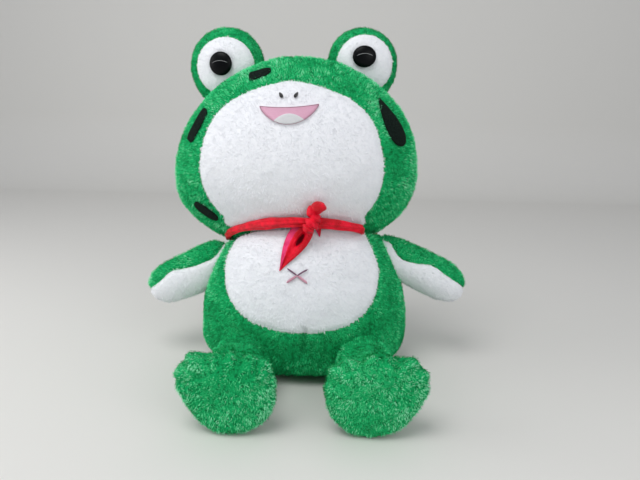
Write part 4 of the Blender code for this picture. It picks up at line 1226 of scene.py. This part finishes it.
def pressed_flat(roots):
    """Where the belly has no pile: under the long end of the scarf and under the navel's thread."""
    out = abs(roots[:, 0] - NAVEL[0]) / NAVEL_REACH[0]
    up = abs(roots[:, 2] - NAVEL[1]) / NAVEL_REACH[1]
    beside, reach = NAVEL_BARE
    under_navel = (abs(out - up) < beside) & (out < reach)
    top, tip = np.array(LONG_TAIL["top"]), np.array(LONG_TAIL["tip"])
    along = tip - top
    offset = roots[:, [0, 2]] - top
    down = np.clip(offset @ along / (along @ along), 0, 1)
    aside = np.linalg.norm(offset - down[:, None] * along, axis=1)
    under_tail = aside < LONG_TAIL["half_width"] * (1 - down ** 2) * TAIL_BARE_SHARE
    return (under_tail | under_navel) & (roots[:, 1] < 0)


def build_torso(limb_trees):
    unit, faces = unit_ball(7)
    points = torso_form(unit)
    normals = normals_of(points, faces)
    points = uneven(points, normals, *TORSO_WAVES)
    distance = front_outline(BELLY, points)
    points = pressed(points, normals, distance)
    points = pressed(points, normals, from_dart(points), *DART_SEAM)
    points[:, 2] = np.maximum(points[:, 2], FLOOR_FLAT)
    points = sunk_under_head(points, follows=True)
    follow = (Vector(FOLLOW_START), Vector(FOLLOW_END))
    belly_side = distance[faces].mean(axis=1) < 0
    comb = outward(TORSO_COMB_CENTRE, down=0.6)
    bag("torso_plush", "neck", points, faces, ~belly_side, GREEN_CLOTH, comb,
        ["torso_skin", "torso_stuffing"], follow, clear_of=limb_trees,
        bare=lambda roots: from_dart(roots) < DART_BARE, shade=torso_painted_shade)
    bag("belly_plush", "neck", points, faces, belly_side, WHITE_CLOTH, comb, ["belly_panel"], follow,
        length=PILE_LENGTH * WHITE_PILE_SHARES["belly"], bare=pressed_flat)
    return solid_tree(points, faces)


def build_navel():
    """Two crossing bars of thread, as one piece: thin and dark at the upper ends, thick at the lower."""
    thin, thick = NAVEL_THREADS
    away = np.linspace(0.0, 1.0, 12)
    bars = []
    for out in (-1, 1):
        for up, radius, finish in ((1, thin, 1), (-1, thick, 0)):
            x = NAVEL[0] + out * away * NAVEL_REACH[0]
            z = NAVEL[1] + up * away * NAVEL_REACH[1] + NAVEL_CROSSING * (1 - away ** 2)
            lift = PILE_LENGTH * NAVEL_RISE_SHARE + (NAVEL_CROSSING if out == up else 0)
            path = np.column_stack([x, torso_front(x, z) - lift, z])
            bar = tube_mesh("navel_bar", path, radius, 10)
            bar.polygons.foreach_set("material_index", np.full(len(bar.polygons), finish, np.int32))
            bars.append(bar)
    piece("navel_stitches", joined("navel_stitches", bars), [PALE_PINK_THREAD, DUSKY_THREAD],
          ["navel_cross"], "torso")


# Arms
def arm_local(side, way):
    unit, faces = unit_ball(6)
    unit = unit[:, [2, 0, 1]]
    y, z = rounded(unit[:, 1], unit[:, 2], ARM_TIP_POWER_SHARE)
    along = signed_power(unit[:, 0], ARM_TIP_POWER_SHARE)
    half_length = np.where(along > 0, ARM_REACH / 2 - PILE_DEPTH, ARM_REACH / 2 + ARM_INSIDE)
    fullness = np.where(z < 0, ARM_LOW_SHARES[side], 1)
    points = np.stack([
        way * (ARM_REACH / 2 + along * half_length),
        y * (ARM_HALF_DEPTH - PILE_DEPTH),
        ARM_RISES[side] + z * fullness * (ARM_HALF_HEIGHT - PILE_DEPTH),
    ], axis=1)
    if way < 0:
        faces = faces[:, ::-1]
    return points, faces


def arm_seat(way):
    return Matrix.Translation((way * SHOULDER_OUT, 0, SHOULDER_Z)) @ Matrix.Rotation(way * ARM_DROOP, 4, "Y")


def build_arm(side, way, torso_tree):
    local, faces = arm_local(side, way)
    rise = ARM_RISES[side]
    normals = normals_of(local, faces)
    local = uneven(local, normals, (*ARM_WAVE, 51 + way))
    lean = math.tan(ARM_SEAM_TILT)
    out = way * local[:, 0]
    hump = np.exp(-((out - ARM_SEAM_HUMP_PLACES[side]) / ARM_SEAM_HUMP_WIDTH) ** 2)
    wave = ARM_SEAM_RISES[side] + ARM_SEAM_HUMPS[side] * hump
    wave += ARM_SEAM_OUTERS[side] * np.clip((out - ARM_SEAM_OUTER_START) / ARM_SEAM_OUTER_RUN, 0, 1)
    wave += ARM_SEAM_LIFT * np.clip(1 - out / ARM_SEAM_LIFT_REACH, 0, 1.5) ** 2
    above = (local[:, 2] - rise - wave - lean * -local[:, 1]) * math.cos(ARM_SEAM_TILT)
    local = pressed(local, normals, above, *ARM_SEAM)
    green_side = above[faces].mean(axis=1) > 0
    seat = arm_seat(way)
    points = sunk_under_head(moved(local, seat))
    root = seat @ Vector((0, 0, rise))
    bend = (root, seat @ Vector((way * ARM_BEND, 0, rise)))
    comb = outward(root, down=0.1, out=1.0)
    bag(f"arm_back_plush_{side}", f"arm_{side}", points, faces, green_side, GREEN_CLOTH, comb,
        [f"arm_back_{side}", f"arm_stuffing_{side}"], bend, clear_of=[torso_tree])
    bag(f"arm_front_plush_{side}", f"arm_{side}", points, faces, ~green_side, WHITE_CLOTH, comb,
        [f"arm_front_{side}"], bend, length=PILE_LENGTH * WHITE_PILE_SHARES["arm"], clear_of=[torso_tree])


# Legs
def leg_points(side, way):
    """The leg tube and its paddle foot, run together as one sewn form."""
    hip = np.array([way * HIP_OUT, -HIP_FRONT, HIP_Z])
    drift_out = way * (FOOT_OUT - HIP_OUT) + FOOT_ASIDE
    widest = FOOT_HEIGHT * FOOT_WIDEST_SHARE
    end = FOOT_FRONT - FOOT_HALF_DEPTH - HIP_FRONT

    def tube(unit):
        along = (1 - unit[:, 1]) / 2
        x, z = rounded(unit[:, 0], unit[:, 2], LEG_ROUND_SHARE)
        y = LEG_ROOT_BACK - (LEG_ROOT_BACK + end) * along
        x = drift_out * along + x * (LEG_HALF_WIDTH - LEG_DEPTH)
        return hip + np.stack([x, y, z * (LEG_HALF_HEIGHT - LEG_DEPTH)], axis=1)

    def paddle(unit):
        up = unit[:, 2] > 0
        z = unit[:, 2] * np.where(up, FOOT_HEIGHT - widest - LEG_DEPTH, widest)
        toe = rounded(unit[:, 0], unit[:, 1], FOOT_TOE_ROUND_SHARE)
        heel = rounded(unit[:, 0], unit[:, 1], FOOT_HEEL_ROUND_SHARE)
        x, y = np.where(up, toe[0], heel[0]), np.where(up, toe[1], heel[1])
        notch = TOE_NOTCH * (1 - np.cos(TOES * np.pi * x)) / 2 * unit[:, 2]
        heel_in = way * FOOT_HEEL_IN * np.minimum(unit[:, 2], 0)
        return hip + np.stack([
            drift_out + heel_in + x * (FOOT_HALF_WIDTHS[side] - LEG_DEPTH),
            HIP_FRONT - FOOT_FRONT + FOOT_HALF_DEPTH + y * (FOOT_HALF_DEPTH - LEG_DEPTH),
            widest - HIP_Z + z - np.where(up, notch, 0)], axis=1)

    unit, faces = unit_ball(6)
    form = linked("leg_form", joined("leg_form", [
        mesh_of("tube", tube(unit[:, [0, 2, 1]]), faces[:, ::-1]), mesh_of("paddle", paddle(unit), faces)]))
    remesh = form.modifiers.new("one skin", "REMESH")
    remesh.mode = "VOXEL"
    remesh.voxel_size = LEG_VOXEL
    smooth = form.modifiers.new("soften", "SMOOTH")
    smooth.iterations = LEG_SMOOTH_STEPS
    triangles = form.modifiers.new("triangles", "TRIANGULATE")
    triangles.quad_method = "FIXED"
    made = bpy.data.meshes.new_from_object(form.evaluated_get(bpy.context.evaluated_depsgraph_get()))
    bpy.data.objects.remove(form)
    points = np.array([vert.co for vert in made.vertices])
    faces = np.array([list(face.vertices) for face in made.polygons])
    return points, faces


def build_leg(side, way, points, faces, torso_tree):
    seam_y = -FOOT_FRONT + FOOT_HALF_DEPTH
    middle = np.array([way * FOOT_OUT + FOOT_ASIDE, FOOT_HEIGHT * FOOT_WIDEST_SHARE * FOOT_MIDDLE_SHARE])

    def toe_folds(places):
        """How near the foot's rim places are, how near its top, and where they lie in its folds."""
        offset = places[:, [0, 2]] - middle
        angle = np.arctan2(offset[:, 1], offset[:, 0])
        rim = np.clip((np.linalg.norm(offset, axis=1) - TOE_RIM[0]) / TOE_RIM[1], 0, 1)
        fold = np.sin(angle * TOE_FOLDS + way + 2 * drift(places, TOE_FOLD_DRIFT, 67))
        return rim, np.clip(np.sin(angle) + TOE_TOP, 0, 1), fold

    normals = normals_of(points, faces)
    points = uneven(points, normals, (*LEG_WAVE, 61 + way), LEG_SMALL_WAVE)
    rim, top, fold = toe_folds(points)
    from_middle = np.linalg.norm(points[:, [0, 2]] - middle, axis=1)
    wrinkle = np.where(points[:, 1] < seam_y + TOE_FOLD_BEHIND, rim * top, 0) * fold
    points = points + normals * (TOE_FOLD_DEPTH * wrinkle)[:, None]
    from_seam = np.where(from_middle > FOOT_SEAM_START, points[:, 1] - seam_y, 1.0)
    points = pressed(points, normals, from_seam, *FOOT_SEAM)
    points = pressed(points, normals, front_radius(points, FOOT_DIMPLE, seam_y), *FOOT_DIMPLE_PRESS)
    points[:, 2] = np.maximum(points[:, 2], FLOOR_FLAT)
    sole_side = points[faces][:, :, 1].mean(axis=1) < seam_y
    hip = Vector((way * HIP_OUT, -HIP_FRONT, HIP_Z))
    bend = (hip + Vector((0, -LEG_BEND_START, 0)), hip + Vector((0, -LEG_BEND_END, 0)))

    # Painted light and shade on the soles' pile: shade in the folds and dimple, light over the sole, sheen on
    # its rim
    def sole_painted_light_and_shade(roots):
        rim, top, fold = toe_folds(roots)
        dark, reach = FOOT_DIMPLE_PAINTED_SHADE
        # Painted shade in the toe folds' creases and in the dimple
        folded = TOE_FOLD_PAINTED_SHADE * rim * top * np.clip(-fold, 0, 1)
        dimple_painted_shade = dark * np.exp(-(front_radius(roots, FOOT_DIMPLE, seam_y) / reach) ** 2)
        return folded + dimple_painted_shade - FOOT_PAINTED_LIGHT - FOOT_RIM_PAINTED_SHEEN * rim ** 2

    # The legs' pile carries painted shade
    bag(f"leg_plush_{side}", f"leg_{side}", points, faces, ~sole_side, GREEN_CLOTH,
        outward((hip.x, LEG_COMB_Y, hip.z), down=0.5, out=1.0),
        [f"leg_skin_{side}", f"leg_stuffing_{side}"], bend, clear_of=[torso_tree],
        shade=lambda roots: np.full(len(roots), LEG_PAINTED_SHADE))
    # The soles' pile carries painted light, painted sheen on the rim, and painted shade in the toe folds and
    # the dimple
    bag(f"sole_plush_{side}", f"leg_{side}", points, faces, sole_side, GREEN_CLOTH,
        outward((middle[0], SOLE_COMB_Y, middle[1]), down=0.3), [f"sole_panel_{side}"], bend,
        length=FOOT_PILE, shade=sole_painted_light_and_shade)


# Scarf
def scarf_path(turn):
    """The middle of the band at a turn from the right side, through the rear, to the front.

    Its right side is tucked into the crease under the jaw.
    """
    x, y = np.cos(turn), np.sin(turn)
    x = x * np.where(x < 0, SCARF_LEFT_OUT, SCARF_RIGHT_OUT)
    rise = (-y + np.sqrt(y ** 2 + SCARF_DIP)) / 2 / (1 + SCARF_DIP / 4)
    z = SCARF_REAR_Z + (SCARF_FRONT_Z - SCARF_REAR_Z) * rise
    tucked = np.clip((x - SCARF_TUCK_START) / SCARF_TUCK_RUN, 0, 1)
    tucked = eased(tucked) * np.clip((SCARF_TUCK_REAR - y) / SCARF_TUCK_FADE, 0, 1)
    y = y * np.where(y < 0, SCARF_FRONT, SCARF_REAR)
    inward = 1 - SCARF_TUCK_IN * tucked / np.maximum(np.hypot(x, y), 1e-9)
    lower = SCARF_REAR_LOWER * np.clip(y / SCARF_REAR, 0, 1) * np.clip(0.5 - x / SCARF_LEFT_OUT, 0, 1)
    return np.stack([x * inward, y * inward, z - lower], axis=-1)


def build_scarf_band():
    """A rolled band of satin, with folds that run along it and slowly twist."""
    turn, around = (np.arange(steps) / steps * math.tau for steps in SCARF_STEPS)
    path = scarf_path(turn)
    away = np.stack([np.cos(turn), np.sin(turn), np.zeros_like(turn)], axis=-1)
    twist = sum(share * np.sin(times * turn + start) for share, times, start in SCARF_TWISTS)
    fold = 0.75 * np.cos(6 * (around[None, :] + 0.6 * twist[:, None]))
    fold += 0.25 * np.cos(9 * around[None, :] - twist[:, None])
    size = 1 + SCARF_FOLD_SHARE * fold
    pinch = 1 + sum(share * np.sin(times * turn + start) for share, times, start in SCARF_PINCHES)
    front = np.clip(-path[:, 1] / SCARF_FRONT + 0.3, 0, 1)
    pinch -= SCARF_TAPER * front * np.clip((abs(path[:, 0]) - SCARF_TAPER_START) / SCARF_TAPER_RUN, 0, 1)
    pinch += SCARF_REAR_FULLER * np.clip(path[:, 1] / SCARF_REAR, 0, 1)
    out = np.cos(around)[None, :] * size * SCARF_HALF_WIDTH * pinch[:, None]
    up = np.sin(around)[None, :] * size * SCARF_HALF_HEIGHT * pinch[:, None]
    points = path[:, None] + away[:, None] * out[:, :, None]
    points[:, :, 2] += up
    band = grid_mesh("scarf_band_satin", points, True)
    piece("scarf_band_satin", band, RED_SATIN, ["scarf_band"], "torso")


def cloth_lump(unit, offset, half, tilt, wraps, seed):
    """A lump of folded cloth in the knot, with creases round it."""
    wander, size = CREASE_WANDER
    crease = np.cos(wraps * np.pi * unit[:, 2] + wander * drift(unit, size, seed) + unit[:, 0])
    share = 1 + CREASE_DEPTH * crease + CREASE_DEPTH * drift(unit, CREASE_BULGE, seed + 1)
    rotation = np.array(Euler((0, math.radians(tilt), 0)).to_matrix())
    place = np.array(KNOT_PLACE) + np.array(offset)
    return (unit * share[:, None] * np.array(half)) @ rotation.T + place


def build_tied(name, lumps, replaces):
    """A piece of tied cloth made of a few lumps."""
    unit, faces = unit_ball(5)
    points = np.concatenate([cloth_lump(unit, *lump) for lump in lumps])
    faces = np.concatenate([faces + index * len(unit) for index in range(len(lumps))])
    piece(name, mesh_of(name, points, faces), RED_SATIN, replaces, "torso")


def build_tail(name, tail, replaces, seed):
    """A free end of the scarf: cloth gathered in the knot, fanned out in folds and cut to a point."""
    rows, columns = TAIL_STEPS
    down = np.linspace(0, 1, rows)[:, None]
    across = np.linspace(-1, 1, columns)[None, :]
    start, end = np.array(tail["top"]), np.array(tail["tip"])
    along = end - start
    aside = np.array([along[1], -along[0]]) / np.linalg.norm(along)
    fan_power, point_power = TAIL_POWERS
    fanned = TAIL_ROOT_SHARE + TAIL_FAN_SHARE * np.sin(np.pi * down ** fan_power)
    spread = tail["half_width"] * fanned * (1 - down ** point_power) + TAIL_POINT
    middle = start + down * along
    x = middle[:, :1] - aside[0] * across * spread + tail["bow"] * np.sin(np.pi * down)
    z = middle[:, 1:] - aside[1] * across * spread
    ridges = sum(height * np.exp(-((across - place) / width) ** 2) for place, width, height in TAIL_RIDGES)
    hollow_width, hollow_height = TAIL_HOLLOW_SIZE
    from_hollow = np.hypot((across - TAIL_HOLLOW[0]) / hollow_width, (down - TAIL_HOLLOW[1]) / hollow_height)
    rim_place, rim_width, rim_height = TAIL_HOLLOW_RIM
    ridges = ridges + rim_height * np.exp(-((from_hollow - rim_place) / rim_width) ** 2)
    depth = tail["fold"] * (1 - down ** 2) * (ridges - TAIL_HOLLOW_DEPTH * np.exp(-from_hollow ** 2))
    height, size = TAIL_UNEVEN
    depth += height * drift(np.stack([x.ravel(), z.ravel(), 0 * x.ravel()], 1), size, seed).reshape(x.shape)
    proud = TAIL_REST + TAIL_PROUD * (1 - down) ** 2
    y = torso_front(x, z) - proud - depth
    sheet = piece(name, grid_mesh(name, np.stack([x, y, z], axis=-1), False, False),
                  [RED_SATIN, PAINTED_SHEEN_SATIN, FOLD_PAINTED_SHADOW_SATIN], replaces)
    # Painted sheen along the tail's left edge
    edge = PAINTED_SHEEN_EDGE[0] + PAINTED_SHEEN_EDGE[1] * down[:-1] ** 2
    # Painted shadow: dark satin in the fold's hollow
    finish = np.where(from_hollow[:-1, :-1] < TAIL_HOLLOW_PAINTED_SHADOW, 2, np.where(across[:, :-1] < edge, 1, 0))
    sheet.data.polygons.foreach_set("material_index", finish.ravel().astype(np.int32))
    cloth = sheet.modifiers.new("cloth", "SOLIDIFY")
    cloth.thickness = CLOTH
    cloth.offset = 0.0
    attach(sheet, "torso")


def build_scarf():
    build_scarf_band()
    build_tied("scarf_knot_satin", KNOT_LUMPS, ["scarf_knot"])
    build_tied("scarf_loop_satin", LOOP_LUMPS, ["scarf_bow"])
    build_tail("scarf_long_tail_satin", LONG_TAIL, ["scarf_tail_long"], 91)
    build_tail("scarf_short_tail_satin", SHORT_TAIL, ["scarf_tail_short"], 92)


def build_neck():
    """The neck's filling, deep inside the seam between head and torso."""
    unit, faces = unit_ball(5)
    points = unit * NECK_FILLING_RADIUS + np.array(NECK)
    mesh = mesh_of("neck_filling", points, faces)
    piece("neck_filling", mesh, WHITE, ["neck_stuffing"], "neck")


# Stage, light and camera
def build_stage():
    """A floor that bends up into a wall."""
    bend = np.linspace(0, math.pi / 2, 17)
    y = np.concatenate([[STAGE_FRONT], STAGE_DEPTH - STAGE_BEND + STAGE_BEND * np.sin(bend), [STAGE_DEPTH]])
    z = np.concatenate([[0.0], STAGE_BEND - STAGE_BEND * np.cos(bend), [STAGE_HEIGHT]])
    edges = [np.column_stack([np.full(len(y), x), y, z]) for x in (-STAGE_HALF_WIDTH, STAGE_HALF_WIDTH)]
    mesh = grid_mesh("floor_sweep", np.array(edges), False, False)
    sweep = linked("floor_sweep", mesh)
    mesh.materials.append(new_material("pale shelf", 0.55, Base_Color=(0.74, 0.73, 0.70, 1))[0])
    mesh.polygons.foreach_set("use_smooth", np.ones(len(mesh.polygons), bool))


def add_lamp(name, place, target, size, power):
    lamp = bpy.data.lights.new(name, "AREA")
    lamp.shape = "DISK"
    lamp.size = size
    lamp.energy = power
    thing = linked(name, lamp)
    thing.location = place
    thing.rotation_euler = (Vector(target) - Vector(place)).to_track_quat("-Z", "Y").to_euler()


def build_light():
    for name, lamp in LAMPS.items():
        add_lamp(name, *lamp)
    world = bpy.data.worlds.new("studio")
    bpy.context.scene.world = world
    world.use_nodes = True
    background = world.node_tree.nodes["Background"]
    background.inputs["Color"].default_value = ROOM_COLOUR
    background.inputs["Strength"].default_value = ROOM_LIGHT
    bpy.context.scene.view_settings.view_transform = "Standard"


def build_camera():
    lens = bpy.data.cameras.new("camera")
    lens.lens = CAMERA_LENS_MM
    lens.sensor_width = CAMERA_SENSOR_MM
    camera = linked("camera", lens)
    level = Euler((math.radians(90) - CAMERA_PITCH, 0, 0)).to_matrix().to_4x4()
    camera.matrix_world = Matrix.Translation(CAMERA_PLACE) @ level @ Matrix.Rotation(CAMERA_ROLL, 4, "Z")
    bpy.context.scene.camera = camera


build_camera()
head_tree = build_head([seated_tree(eye_points(side), eye_seat(way)) for side, way in SIDES.items()])
build_face()
for side, way in SIDES.items():
    build_eye(side, way, head_tree)
legs = {side: leg_points(side, way) for side, way in SIDES.items()}
limb_trees = [solid_tree(*legs[side]) for side in SIDES]
limb_trees += [seated_tree(arm_local(side, way), arm_seat(way)) for side, way in SIDES.items()]
torso_tree = build_torso(limb_trees)
build_navel()
for side, way in SIDES.items():
    build_arm(side, way, torso_tree)
    build_leg(side, way, *legs[side], torso_tree)
build_scarf()
build_neck()
for side in SIDES:
    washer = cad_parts[f"eye_washer_{side}"]
    washer.data.materials.clear()
    washer.data.materials.append(WASHER_PLASTIC)
build_stage()
build_light()
